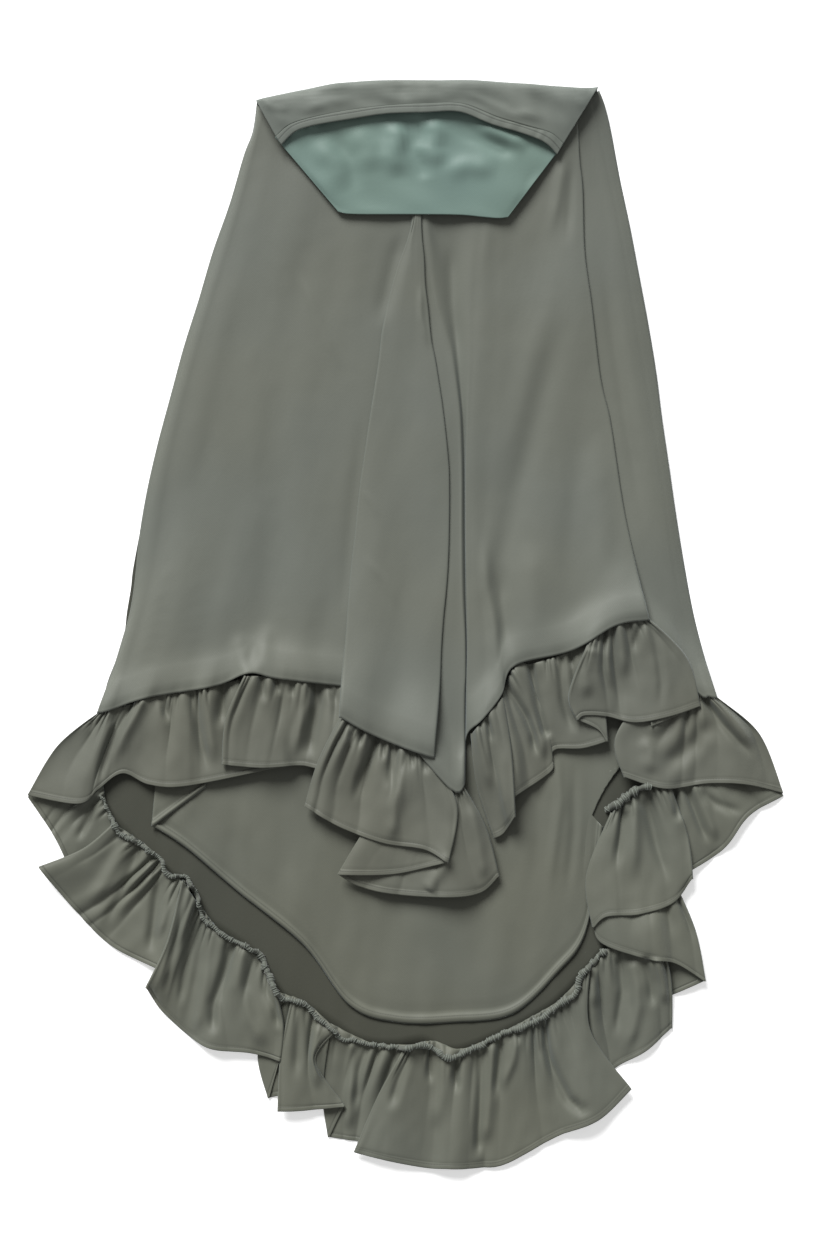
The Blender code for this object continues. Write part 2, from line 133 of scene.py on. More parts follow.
def distance_to(points, xy):
    """Signed distance of plan points from a polyline (positive on its left), and the place along it."""
    p = np.asarray(points, float)
    best = np.full(xy.shape[:-1], 1e9)
    side, along = np.zeros_like(best), np.zeros_like(best)
    lengths = np.linalg.norm(np.diff(p, axis=0), axis=1)
    total, done = lengths.sum(), 0.0
    for a, b, length in zip(p[:-1], p[1:], lengths):
        ab = b - a
        t = np.clip(((xy - a) @ ab) / (length * length), 0, 1)
        off = xy - (a + t[..., None] * ab)
        d = np.linalg.norm(off, axis=-1)
        near = d < best
        best = np.where(near, d, best)
        side = np.where(near, np.sign(ab[0] * off[..., 1] - ab[1] * off[..., 0]), side)
        along = np.where(near, (done + t * length) / total, along)
        done += length
    return best * -side, along


def across(line, previous):
    along = np.gradient(line, axis=0)
    side = np.stack([-along[:, 1], along[:, 0]], 1)
    side /= np.linalg.norm(side, axis=1)[:, None] + 1e-9
    return side * (np.sign(np.sum(side * (line - previous), axis=1).mean()) or 1.0)


class Height:
    """The height of the uppermost cloth over the plan, in cells of one unit."""

    def __init__(self):
        self.map = np.zeros((GRID_Y[1] - GRID_Y[0], GRID_X[1] - GRID_X[0]))

    def add(self, xy, z):
        """Lays a run of cloth, given as a grid, into the map."""
        steps_u = np.linalg.norm(np.diff(xy, axis=0), axis=2).max() if len(xy) > 1 else 1
        steps_v = np.linalg.norm(np.diff(xy, axis=1), axis=2).max()
        full = np.concatenate([xy, z[..., None]], 2)
        for axis, step in ((0, steps_u), (1, steps_v)):
            n = full.shape[axis]
            fine = np.linspace(0, n - 1, int((n - 1) * max(1, math.ceil(step / 0.7))) + 1)
            low = np.minimum(np.floor(fine).astype(int), n - 2)
            f = (fine - low).reshape((-1, 1, 1) if axis == 0 else (1, -1, 1))
            full = np.take(full, low, axis) * (1 - f) + np.take(full, low + 1, axis) * f
        j = np.clip((full[..., 0] - GRID_X[0]).astype(int), 0, self.map.shape[1] - 1)
        i = np.clip((full[..., 1] - GRID_Y[0]).astype(int), 0, self.map.shape[0] - 1)
        np.maximum.at(self.map, (i.ravel(), j.ravel()), full[..., 2].ravel() + CLOTH / 2)

    def at(self, xy, reach):
        """The highest cloth within reach units of plan points."""
        grown = self.map
        for _ in range(reach):
            p = np.pad(grown, 1, mode="edge")
            grown = np.maximum.reduce([p[1:-1, 1:-1], p[:-2, 1:-1], p[2:, 1:-1], p[1:-1, :-2], p[1:-1, 2:]])
        j = np.clip((xy[..., 0] - GRID_X[0]).astype(int), 0, self.map.shape[1] - 1)
        i = np.clip((xy[..., 1] - GRID_Y[0]).astype(int), 0, self.map.shape[0] - 1)
        return grown[i, j]


HEIGHT = Height()


def blur(a):
    p = np.pad(a, 1, mode="edge")
    return (p[:-2, 1:-1] + p[2:, 1:-1] + p[1:-1, :-2] + p[1:-1, 2:]) / 4


def settle(z, floor, rounds=30):
    """Lifts cloth clear of what is below it, tenting softly over each step."""
    need = np.maximum(floor - z, 0)
    wide = need
    for _ in range(2):
        p = np.pad(wide, 1, mode="edge")
        wide = np.maximum.reduce([p[1:-1, 1:-1], p[:-2, 1:-1], p[2:, 1:-1], p[1:-1, :-2], p[1:-1, 2:]])
    lift = wide.copy()
    for _ in range(rounds):
        lift = np.maximum(wide, blur(lift))
    for _ in range(5):
        lift = blur(lift)
    return z + np.maximum(lift, need - 0.0002)


class Run:
    """Cloth between two folds: plan points, heights and the place along the piece."""

    def __init__(self, xy, z, s):
        self.xy, self.z, self.s = xy, z, s


def runs_of(rows, spacing, fold_round):
    """Splits a table of rows (line, level in, level out) into runs at the folds."""
    lines, out, start, arc = [r[0] for r in rows], [], 0, 0.0
    spans = []
    for i in range(1, len(rows)):
        if i == len(rows) - 1 or abs(rows[i][1] - rows[i][2]) > 1e-6:
            spans.append((start, i))
            start = i
    for first, last in spans:
        pts, z = [], []
        for i in range(first, last + 1):
            line = lines[i].copy()
            if 0 < i < len(rows) - 1 and abs(rows[i][1] - rows[i][2]) > 1e-6:
                line -= across(lines[i], lines[i - 1]) * fold_round
            pts.append(line)
            z.append(rows[i][2] if i == first else rows[i][1])
        xy, zz, ss = [], [], []
        for i in range(len(pts) - 1):
            a, d = pts[max(i - 1, 0)], pts[min(i + 2, len(pts) - 1)]
            gap = np.linalg.norm(pts[i + 1] - pts[i], axis=1)
            n = max(2, math.ceil(gap.max() / spacing))
            for k in range(n + (i == len(pts) - 2)):
                t = k / n
                ease = t * t * (3 - 2 * t)
                xy.append(catmull(a, pts[i], pts[i + 1], d, t))
                zz.append(np.full(len(a), level(z[i] + (z[i + 1] - z[i]) * ease)))
                ss.append(arc + gap.mean() * t)
            arc += gap.mean()
        out.append(Run(np.array(xy), np.array(zz), np.array(ss)))
    return out


PIECES = []  # every sheet waiting to be laid: dict(name, rows, runs, ts, relief, spacing, ...)


def plan_sheet(name, rows, ts, spacing, relief, look, fold_round=1.4, shift=0.0, wall=CLOTH, reach=2, **extra):
    runs = runs_of(rows, spacing, fold_round)
    PIECES.append(
        dict(name=name, rows=rows, runs=runs, ts=ts, relief=relief, look=look, fold_round=fold_round,
             shift=shift, wall=wall, reach=reach, **extra)
    )


def lay_all():
    """Lays every run of every piece, the lowest first."""
    order = sorted(
        ((run.z.max() + piece["shift"], k, r, piece, run) for k, piece in enumerate(PIECES) for r, run in enumerate(piece["runs"])),
        key=lambda row: row[:3],
    )
    for _, _, _, piece, run in order:
        t = np.asarray(piece["ts"])
        z = run.z + piece["relief"](run.xy, run.s[:, None], t[None, :])
        under = HEIGHT.at(run.xy, piece["reach"])
        floor = np.where(under > 0, under + LAYER - CLOTH / 2, CLOTH / 2 + 0.0001)
        run.z = settle(z, floor)
        HEIGHT.add(run.xy, run.z)


def fold_columns(low, high, round_units, way):
    """The rounded fold between the last column of one run and the first of the next."""
    out = []
    for k in range(1, 6):
        angle = math.pi * k / 6
        edge = (low[0] + high[0]) / 2 + way * round_units * math.sin(angle)
        out.append((edge, (low[1] + high[1]) / 2 - (high[1] - low[1]) / 2 * math.cos(angle)))
    return out


def build_sheet(piece):
    """One cloth piece as a mesh with Solidify. Its UVs are metres along the hem and from it."""
    columns, ss = [], []
    runs, rows = piece["runs"], piece["rows"]
    turn_rows = [i for i in range(1, len(rows) - 1) if abs(rows[i][1] - rows[i][2]) > 1e-6]
    for r, run in enumerate(runs):
        columns += [(run.xy[u], run.z[u]) for u in range(len(run.xy))]
        ss += list(run.s)
        if r < len(runs) - 1:
            i = turn_rows[r]
            way = across(rows[i][0], rows[i - 1][0])
            last, nxt = columns[-1], (runs[r + 1].xy[0], runs[r + 1].z[0])
            between = fold_columns(last, nxt, piece["fold_round"], way)
            columns += between
            ss += [run.s[-1]] * len(between)
    xy = np.array([c[0] for c in columns])
    z = np.array([c[1] for c in columns])
    wide, tall = xy.shape[:2]
    mesh = bpy.data.meshes.new(piece["name"] + "_cloth")
    index = np.arange(wide * tall).reshape(wide, tall)
    quads = np.stack([index[:-1, :-1], index[:-1, 1:], index[1:, 1:], index[1:, :-1]], -1).reshape(-1, 4)
    mesh.from_pydata(world(xy, z).reshape(-1, 3).tolist(), [], quads.tolist())
    mesh.shade_smooth()
    length = np.linalg.norm(np.diff(xy, axis=1), axis=2)
    from_hem = np.concatenate([np.cumsum(length[:, ::-1], axis=1)[:, ::-1], np.zeros((wide, 1))], 1) * U
    hem_step = np.linalg.norm(np.diff(xy[:, -1], axis=0), axis=1)
    hem_at = np.concatenate([[0], np.cumsum(hem_step)]) * U
    uv = np.stack([np.broadcast_to(hem_at[:, None], (wide, tall)), from_hem], -1).reshape(-1, 2)
    layer = mesh.uv_layers.new(name="cut")
    loops = np.zeros(len(mesh.loops), np.int32)
    mesh.loops.foreach_get("vertex_index", loops)
    layer.data.foreach_set("uv", uv[loops].astype(np.float32).ravel())
    made = bpy.data.objects.new(piece["name"] + "_cloth", mesh)
    bpy.context.scene.collection.objects.link(made)
    mesh.materials.append(piece["look"])
    wall = made.modifiers.new("cloth", "SOLIDIFY")
    wall.thickness = piece["wall"]
    wall.offset = 0.0
    wall.use_even_offset = False
    return made


# ---- materials ----
def satin(name, colour, hem=None, roughness=0.60, sheen=0.22, mottled=0.04, groove_shade_and_depth=0.75, painted_reflection_tint=0.2):
    """Matt satin with a fine twill, uneven dye, broad patches of painted reflection from khaki to blue grey and, hem
    metres from the edge, a stitch groove with painted shade in it.
    """
    made = bpy.data.materials.new(name)
    made.use_nodes = True
    tree = made.node_tree
    new, link = tree.nodes.new, tree.links.new
    shader = tree.nodes["Principled BSDF"]
    shader.inputs["Roughness"].default_value = roughness
    shader.inputs["Metallic"].default_value = 0.0
    shader.inputs["Sheen Weight"].default_value = sheen
    shader.inputs["Sheen Roughness"].default_value = 0.45
    shader.inputs["Sheen Tint"].default_value = (0.78, 0.90, 1.0, 1.0)
    shader.inputs["Specular IOR Level"].default_value = 0.30
    place = new("ShaderNodeTexCoord")
    # uneven dye, in broad soft patches and fine slubs
    patches = new("ShaderNodeTexNoise")
    patches.inputs["Scale"].default_value = 9.0
    patches.inputs["Detail"].default_value = 3.0
    link(place.outputs["Object"], patches.inputs["Vector"])
    fine = new("ShaderNodeTexNoise")
    fine.inputs["Scale"].default_value = 420.0
    fine.inputs["Detail"].default_value = 2.0
    link(place.outputs["Object"], fine.inputs["Vector"])
    both = new("ShaderNodeMath")
    both.operation = "MULTIPLY_ADD"
    link(fine.outputs["Fac"], both.inputs[0])
    both.inputs[1].default_value = 0.5
    link(patches.outputs["Fac"], both.inputs[2])
    span = new("ShaderNodeMapRange")
    span.inputs["From Min"].default_value = 0.4
    span.inputs["From Max"].default_value = 1.1
    span.inputs["To Min"].default_value = 1.0 - mottled
    span.inputs["To Max"].default_value = 1.0 + mottled
    link(both.outputs[0], span.inputs["Value"])
    shade = new("ShaderNodeVectorMath")
    shade.operation = "SCALE"
    # painted reflection: the base colour turns from khaki, for warm room light, to blue grey, for window light, in
    # broad random patches
    reflection_patches = new("ShaderNodeTexNoise")
    reflection_patches.inputs["Scale"].default_value = 6.0
    reflection_patches.inputs["Detail"].default_value = 1.0
    link(place.outputs["Object"], reflection_patches.inputs["Vector"])
    reflection_share = new("ShaderNodeMapRange")
    reflection_share.inputs["From Min"].default_value = 0.36
    reflection_share.inputs["From Max"].default_value = 0.64
    link(reflection_patches.outputs["Fac"], reflection_share.inputs["Value"])
    reflection_hue = new("ShaderNodeMix")
    reflection_hue.data_type = "RGBA"
    reflection_hue.inputs[6].default_value = (colour[0] * (1 + 0.04 * painted_reflection_tint), colour[1], colour[2] * (1 - 0.10 * painted_reflection_tint), 1)
    reflection_hue.inputs[7].default_value = (colour[0] * (1 - 0.04 * painted_reflection_tint), colour[1] * (1 + 0.01 * painted_reflection_tint), colour[2] * (1 + 0.09 * painted_reflection_tint), 1)
    link(reflection_share.outputs["Result"], reflection_hue.inputs["Factor"])
    link(reflection_hue.outputs[2], shade.inputs[0])
    link(span.outputs["Result"], shade.inputs["Scale"])
    out = shade.outputs["Vector"]
    # twill: fine diagonal ribs, broken up by the fine noise
    ribs = new("ShaderNodeTexWave")
    ribs.wave_type = "BANDS"
    ribs.bands_direction = "DIAGONAL"
    ribs.inputs["Scale"].default_value = 260.0
    ribs.inputs["Distortion"].default_value = 0.6
    link(place.outputs["Object"], ribs.inputs["Vector"])
    weave = new("ShaderNodeMath")
    weave.operation = "MULTIPLY_ADD"
    link(ribs.outputs["Fac"], weave.inputs[0])
    weave.inputs[1].default_value = 0.35
    link(fine.outputs["Fac"], weave.inputs[2])
    bump = new("ShaderNodeBump")
    bump.inputs["Strength"].default_value = 0.22
    bump.inputs["Distance"].default_value = 0.0003
    link(weave.outputs[0], bump.inputs["Height"])
    if hem:
        cut = new("ShaderNodeUVMap")
        cut.uv_map = "cut"
        split = new("ShaderNodeSeparateXYZ")
        link(cut.outputs["UV"], split.inputs["Vector"])
        # the groove that the stitches draw into the cloth: painted shade darkens the colour along it, and the same map
        # sinks it as a bump
        off = new("ShaderNodeMath")
        off.operation = "SUBTRACT"
        link(split.outputs["Y"], off.inputs[0])
        off.inputs[1].default_value = hem
        size = new("ShaderNodeMath")
        size.operation = "ABSOLUTE"
        link(off.outputs[0], size.inputs[0])
        groove = new("ShaderNodeMapRange")
        groove.interpolation_type = "SMOOTHSTEP"
        groove.inputs["From Min"].default_value = 0.0002
        groove.inputs["From Max"].default_value = 0.0012
        groove.inputs["To Min"].default_value = groove_shade_and_depth
        groove.inputs["To Max"].default_value = 1.0
        link(size.outputs[0], groove.inputs["Value"])
        # single stitches along it, marked by spots of painted shade where the thread sinks in
        along = new("ShaderNodeMath")
        along.operation = "PINGPONG"
        link(split.outputs["X"], along.inputs[0])
        along.inputs[1].default_value = 0.0014
        gap = new("ShaderNodeMapRange")
        gap.inputs["From Min"].default_value = 0.0001
        gap.inputs["From Max"].default_value = 0.0004
        gap.inputs["To Min"].default_value = 0.8
        gap.inputs["To Max"].default_value = 1.0
        link(along.outputs[0], gap.inputs["Value"])
        near = new("ShaderNodeMath")
        near.operation = "LESS_THAN"
        link(size.outputs[0], near.inputs[0])
        near.inputs[1].default_value = 0.0005
        pick = new("ShaderNodeMix")
        pick.data_type = "FLOAT"
        link(near.outputs[0], pick.inputs["Factor"])
        pick.inputs["A"].default_value = 1.0
        link(gap.outputs["Result"], pick.inputs["B"])
        total = new("ShaderNodeMath")
        total.operation = "MULTIPLY"
        link(groove.outputs["Result"], total.inputs[0])
        link(pick.outputs["Result"], total.inputs[1])
        painted_groove_shade = new("ShaderNodeVectorMath")
        painted_groove_shade.operation = "SCALE"
        link(out, painted_groove_shade.inputs[0])
        link(total.outputs[0], painted_groove_shade.inputs["Scale"])
        out = painted_groove_shade.outputs["Vector"]
        sunk = new("ShaderNodeBump")
        sunk.inputs["Strength"].default_value = 0.6
        sunk.inputs["Distance"].default_value = 0.0008
        link(total.outputs[0], sunk.inputs["Height"])
        link(sunk.outputs["Normal"], bump.inputs["Normal"])
    link(out, shader.inputs["Base Color"])
    link(bump.outputs["Normal"], shader.inputs["Normal"])
    return made


FACE = satin("satin_face", (0.128, 0.136, 0.114))
FACE_RUFFLE = satin("satin_face_ruffle", (0.114, 0.118, 0.095), hem=0.0044)
# painted shade: the back panel's inside is coloured about half as bright as the ruffles' inside, for the shade it lies
# in under the upper layers
INSIDE_PAINTED_SHADE = satin("satin_inside_painted_shade", (0.051, 0.053, 0.040), roughness=0.65, sheen=0.1)
INSIDE_RUFFLE = satin("satin_inside_ruffle", (0.112, 0.117, 0.093), hem=0.0044)
INNER_FACE = satin("satin_inner_veil", (0.112, 0.117, 0.093), hem=0.0066, groove_shade_and_depth=0.8)
HOOD_FACE = satin("satin_hood", (0.142, 0.158, 0.138))
HOOD_HEM = satin("satin_hood_hem", (0.142, 0.158, 0.138), hem=0.0064, groove_shade_and_depth=0.7)
LINING_FACE = satin("satin_lining", (0.150, 0.218, 0.190), roughness=0.46, sheen=0.2, mottled=0.03, painted_reflection_tint=0.2)


def thread(name, colour):
    made = bpy.data.materials.new(name)
    made.use_nodes = True
    shader = made.node_tree.nodes["Principled BSDF"]
    shader.inputs["Base Color"].default_value = (*colour, 1.0)
    shader.inputs["Roughness"].default_value = 0.75
    shader.inputs["Sheen Weight"].default_value = 0.3
    return made


THREAD = thread("overlock_thread", (0.165, 0.185, 0.158))
BINDING = thread("gathered_allowance", (0.080, 0.088, 0.070))

# ---- how each kind of piece is shaped beyond its table ----
TS_RUFFLE = np.concatenate(
    [[0, 0.015], np.linspace(0.035, 0.88, 27), 1 - np.array([9.0, 6.8, 5.4, 4.6, 3.8, 2.8, 1.8, 0.9, 0.0]) / 100]
)
BROAD = field(90, 280, 3, 0.1)
MEDIUM = field(38, 120, 5, 0.15)
FINE = field(18, 30, 8)


def smooth(x):
    x = np.clip(x, 0, 1)
    return x * x * (3 - 2 * x)


def traced(features, xy):
    """The creases traced on a piece: (plan points, height, half width, fade at the start, fade at the end)."""
    z = np.zeros(xy.shape[:-1])
    for points, height, width, start, end in features:
        d, along = distance_to(points, xy)
        fade = 1.0
        if start:
            fade = fade * smooth(along / start)
        if end:
            fade = fade * smooth((1 - along) / end)
        z += height * np.exp(-((d / width) ** 2)) * fade
    return z


def gathers(seed, features=(), amount=1.0, depth=100.0, hem=4.4, drop=0.0, rise=0.0, waves=1.0, pitch=11.5, float_up=0.0):
    """Puckers at the seam that open into broader folds towards the hem."""

    def relief(xy, s, t):
        d = t * depth
        # short puckers: round ridges with sharp valleys, each of its own length
        phase = s / pitch + 0.8 * noise_1d(s, 42, seed) + 0.05 * np.sin(d / 11 + s / 31)
        ridge = np.abs(np.sin(math.pi * phase)) ** 0.75 - 0.62
        reach = 17 + 9 * noise_1d(s, 30, seed + 7)
        size = 0.75 + 0.45 * noise_1d(s, 26, seed + 8)
        z = 0.0052 * ridge * size * np.exp(-((d / reach) ** 2)) * smooth((d + 8) / 10)
        # folds that carry on down
        phase = s / 27 + 0.9 * noise_1d(s, 70, seed + 1) + 0.10 * noise_1d(d, 60, seed + 3)
        ridge = np.abs(np.sin(math.pi * phase)) ** 0.9 - 0.6
        size = 0.8 + 0.5 * noise_1d(s, 60, seed + 9)
        z = z + 0.0078 * ridge * size * (np.exp(-(((d - 26) / 34.0) ** 2)) + 0.22 * smooth(t))
        broad = noise_1d(s + 6 * noise_1d(d, 90, seed + 5), 62, seed + 2)
        z = z + 0.0060 * waves * broad * smooth(t * 1.15)
        z = z + 0.0022 * (1 - np.exp(-d / 4.0)) * np.exp(-((d / 40.0) ** 2))
        z = z + 0.00018 * sample_field(FINE, xy) * smooth(d / 20)
        if features:
            z = z + 1.3 * traced(features, xy)
        from_hem = (1 - t) * depth
        z = z + 0.00035 * smooth((hem + 0.4 - from_hem) / 0.8) - 0.00035 * np.exp(-(((from_hem - hem - 0.6) / 0.9) ** 2))
        return z * amount + float_up * smooth(t * 2.0) - drop * t + rise * (1 - np.minimum(t / 0.4, 1))

    return relief


def body(features, broad=0.0018, medium=0.00020, fine=0.00005, ends=()):
    """Soft undulations of a panel, with creases traced on it: (points, height, half width, taper)."""

    def relief(xy, s, t):
        z = broad * sample_field(BROAD, xy) + medium * sample_field(MEDIUM, xy) + fine * sample_field(FINE, xy)
        z = z * smooth(t / 0.08)
        if features:
            z = z + traced([(points, height, width, taper, taper) for points, height, width, taper in features], xy)
        seam = (1 - t) * 600
        z = z + 0.0003 * noise_1d(s, 12, 91) * np.exp(-((seam / 12) ** 2))
        return z

    return relief


# ---- the tables: the creases, folds and edges of each piece on the plan grid ----
#  crease, plan points from the top down to the seam, level arriving, level leaving
FRONT = [
    ("left_outline", [(257, 104), (253, 132), (244, 156), (230, 204), (213, 252), (199, 300), (184, 348), (171, 396), (158, 444), (147, 492), (139, 540), (135, 580), (130, 612), (121, 644), (111, 676), (98, 713)], 1.3, 1.3),
    ("left_shoulder", [(264, 110), (237, 215), (199, 340), (168, 460), (149, 580), (128, 655), (112, 710)], 4.8, 4.8),
    ("left_flat", [(284, 110), (260, 215), (226, 340), (198, 460), (182, 580), (162, 650), (147, 698)], 6, 6),
    ("left_crease", [(306, 110), (290, 215), (268, 340), (252, 460), (242, 580), (226, 645), (216, 686)], 6, 6),
    ("left_low", [(325, 110), (315, 215), (290, 340), (276, 460), (268, 580), (256, 640), (250, 673)], 5.9, 5.9),
    ("left_middle", [(345, 112), (335, 215), (318, 340), (308, 460), (300, 580), (288, 640), (282, 679)], 6, 6),
    ("under_pleat", [(409, 112), (414, 215), (396, 340), (386, 460), (382, 580), (379, 640), (376, 690)], 6, 7),
    ("pleat_left", [(410, 112), (411, 190), (413, 217), (408, 240), (400, 262), (393, 285), (387, 310), (382, 335), (379, 362), (370, 420), (365, 455), (360, 490), (356, 530), (352, 565), (349, 600), (346, 640), (342, 680), (340, 717)], 7, 8),
    ("pleat_crest", [(413, 112), (414, 190), (415.5, 217), (412, 240), (409, 262), (405, 285), (402, 310), (399, 335), (397, 362), (391, 420), (388, 455), (385, 490), (381, 530), (378, 565), (376, 600), (373, 640), (369, 680), (366, 731)], 8.6, 8.6),
    ("pleat_middle", [(416, 112), (417, 190), (418, 217), (416, 240), (417, 285), (417, 335), (416, 390), (414, 450), (410, 530), (406, 600), (402, 680), (400, 746)], 8.3, 8.3),
    ("pleat_right", [(421, 112), (421, 190), (421, 217), (422, 240), (424, 260), (425, 285), (428, 310), (431, 340), (435, 360), (439, 385), (442, 405), (445, 430), (448, 460), (449, 480), (449, 520), (448, 560), (446, 590), (443, 620), (441, 650), (440, 680), (438, 710), (435, 740), (434, 757)], 8, 7),
    ("under_second", [(414, 112), (416, 190), (418, 217), (412, 340), (420, 460), (416, 580), (412, 680), (408, 742)], 7, 6),
    ("second_mid", [(418, 112), (420, 190), (422, 217), (424, 240), (430, 285), (437, 330), (446, 385), (452, 430), (455, 480), (455, 540), (455, 620), (453, 700), (450, 788)], 6.2, 6.2),
    ("second_right", [(421, 112), (423, 190), (425, 217), (430, 250), (436, 300), (441, 320), (446, 335), (450, 350), (453, 370), (456, 390), (459, 415), (460, 440), (461, 480), (461, 540), (462, 600), (464, 640), (464, 680), (463, 700), (463, 787)], 6.6, 6.6),
    ("deep_gap", [(430, 112), (434, 190), (438, 217), (448, 260), (455, 320), (460, 380), (463.5, 430), (464.5, 480), (464.8, 540), (465.3, 600), (466.3, 660), (465.6, 700), (465.5, 762)], 3.8, 3.8),
    ("right_left_edge", [(455, 112), (466, 190), (476, 230), (472, 270), (470.5, 320), (470.5, 360), (468.5, 400), (467.5, 430), (466.5, 470), (466.5, 520), (467, 560), (468, 600), (468.5, 640), (468, 680), (467, 734)], 6.4, 6.4),
    ("right_first", [(470, 112), (482, 190), (487, 230), (484, 270), (481, 340), (477, 400), (475, 460), (475, 520), (476, 580), (480, 640), (482, 690), (482, 719)], 6.9, 6.9),
    ("right_wave", [(492, 112), (498, 215), (498, 340), (492, 460), (487, 530), (488, 590), (494, 630), (498, 670), (501, 695)], 6.5, 6.5),
    ("right_hollow", [(515, 112), (518, 215), (522, 340), (515, 460), (510, 540), (508, 600), (510, 640), (514, 666)], 5.8, 5.8),
    ("right_middle", [(538, 100), (548, 215), (556, 340), (560, 460), (563, 560), (566, 610), (570, 651)], 6.1, 6.1),
    ("right_flat", [(556, 98), (566, 162), (569, 215), (580, 340), (594, 460), (604, 550), (610, 590), (614, 626)], 6.3, 6.3),
    ("right_fold", [(574, 96), (577, 129), (579, 162), (582, 192), (584, 253), (591, 306), (600, 379), (610, 423), (622, 503), (634, 561), (646, 612), (648, 620)], 6, 5),
    ("under_right", [(556, 98), (565, 215), (577, 340), (595, 460), (610, 560), (614, 590), (617, 608)], 5, 4),
    ("side_flat", [(584, 97), (608, 215), (628, 340), (648, 460), (666, 580), (680, 640), (694, 690)], 3.8, 3.8),
    ("side_crest", [(592, 95), (618, 215), (640, 340), (660, 460), (677, 580), (694, 645), (707, 696)], 3.0, 3.0),
    ("right_outline", [(599, 91), (605, 107), (611, 132), (620, 180), (630, 228), (639, 276), (648, 324), (656, 372), (662, 420), (669, 468), (676, 516), (684, 564), (693, 612), (705, 660), (716, 698)], 1.3, 1.3),
]
# creases that the laid cloth shows: plan points, height in metres, half width, taper at the ends
FRONT_CREASES = [
    ([(297, 268), (318, 318), (339, 371)], 0.0009, 4.5, 0.3),
    ([(564, 146), (560, 182), (550, 240)], 0.0022, 5.0, 0.35),
    ([(572, 150), (570, 190), (566, 250)], -0.0018, 5.0, 0.35),
    ([(564, 306), (540, 400), (510, 520), (487, 617), (500, 655)], -0.0020, 12.0, 0.25),
    ([(545, 300), (520, 400), (497, 500)], 0.0014, 12.0, 0.3),
    ([(362, 556), (385, 580), (400, 610)], 0.0006, 3.5, 0.3),
    ([(360, 490), (372, 502), (380, 520)], 0.0005, 3.0, 0.3),
    ([(484, 530), (485, 560), (487, 590), (491, 610), (494, 630), (495, 660), (499, 692)], 0.0034, 6.0, 0.3),
    ([(502, 560), (502, 600), (507, 640), (512, 660)], -0.0032, 7.0, 0.35),
    ([(530, 540), (530, 600), (536, 650)], 0.0022, 12.0, 0.3),
    ([(256, 640), (252, 658), (249, 672)], -0.0026, 6.0, 0.35),
    ([(240, 630), (240, 655), (241, 676)], 0.0022, 7.0, 0.35),
    ([(268, 620), (266, 650), (268, 674)], 0.0018, 7.0, 0.35),
    ([(276, 470), (240, 560), (215, 650)], 0.0012, 16.0, 0.3),
    ([(240, 250), (205, 380), (180, 500)], 0.0010, 14.0, 0.3),
    ([(405, 226), (392, 270), (378, 330)], -0.0030, 8.0, 0.3),
    ([(366, 400), (352, 520), (342, 640)], -0.0016, 7.0, 0.3),
    ([(420, 285), (421, 320), (428, 350)], 0.0014, 3.0, 0.3),
    ([(452, 232), (452, 300), (458, 370)], -0.0030, 7.0, 0.3),
    ([(530, 190), (520, 260), (505, 340)], 0.0014, 14.0, 0.3),
    ([(350, 230), (330, 330), (318, 430)], -0.0012, 16.0, 0.3),
    ([(610, 250), (636, 400), (655, 520)], 0.0014, 9.0, 0.3),
    ([(600, 250), (622, 400), (646, 540)], -0.0014, 6.0, 0.3),
    ([(596, 430), (602, 520), (600, 600)], 0.0018, 12.0, 0.3),
    ([(575, 400), (572, 500), (566, 600)], -0.0014, 12.0, 0.3),
    ([(165, 560), (152, 620), (132, 690)], 0.0012, 9.0, 0.3),
]
INNER_CREASES = [
    ([(556, 740), (560, 800), (552, 860), (548, 900)], 0.0026, 5.0, 0.3),
    ([(574, 752), (574, 830), (566, 900)], -0.0026, 5.0, 0.3),
    ([(540, 760), (538, 830), (530, 900)], -0.0016, 8.0, 0.3),
    ([(225, 780), (262, 850), (310, 930)], 0.0018, 14.0, 0.3),
    ([(280, 770), (300, 860), (350, 960)], -0.0012, 18.0, 0.3),
    ([(420, 900), (430, 960), (450, 1010)], 0.0010, 14.0, 0.3),
    ([(510, 880), (500, 960), (490, 1010)], 0.0012, 12.0, 0.3),
    ([(196, 796), (184, 812), (172, 828)], 0.0012, 8.0, 0.3),
]
LEFT_CREASES = [
    ([(96, 715), (91, 732)], -0.0030, 3.0, 0, 0.6),
    ([(117, 710), (112, 727)], -0.0030, 3.0, 0, 0.6),
    ([(133, 704), (125, 717), (115, 735), (108, 752), (103, 768), (99, 788)], -0.0042, 4.0, 0, 0.25),
    ([(141, 702), (134, 717), (124, 735), (117, 752), (113, 770)], 0.0034, 6.5, 0, 0.4),
    ([(163, 698), (166, 710), (169, 724)], -0.0044, 3.6, 0, 0.5),
    ([(193, 696), (198, 725), (205, 755), (209, 775)], -0.0034, 5.0, 0, 0.3),
    ([(205, 690), (210, 725), (215, 765)], 0.0030, 5.5, 0, 0.3),
    ([(226, 685), (222, 705), (219, 730)], -0.0050, 5.0, 0, 0.4),
    ([(262, 678), (265, 692), (266, 704)], -0.0036, 3.2, 0, 0.5),
    ([(277, 680), (280, 695)], -0.0030, 3.0, 0, 0.5),
    ([(292, 682), (292, 697)], -0.0034, 3.2, 0, 0.5),
    ([(309, 682), (308, 706), (300, 730), (295, 758)], 0.0036, 5.5, 0, 0.3),
    ([(317, 684), (318, 705), (314, 728), (308, 758)], -0.0052, 6.5, 0, 0.25),
    ([(330, 684), (337, 706)], -0.0030, 4.0, 0, 0.5),
]
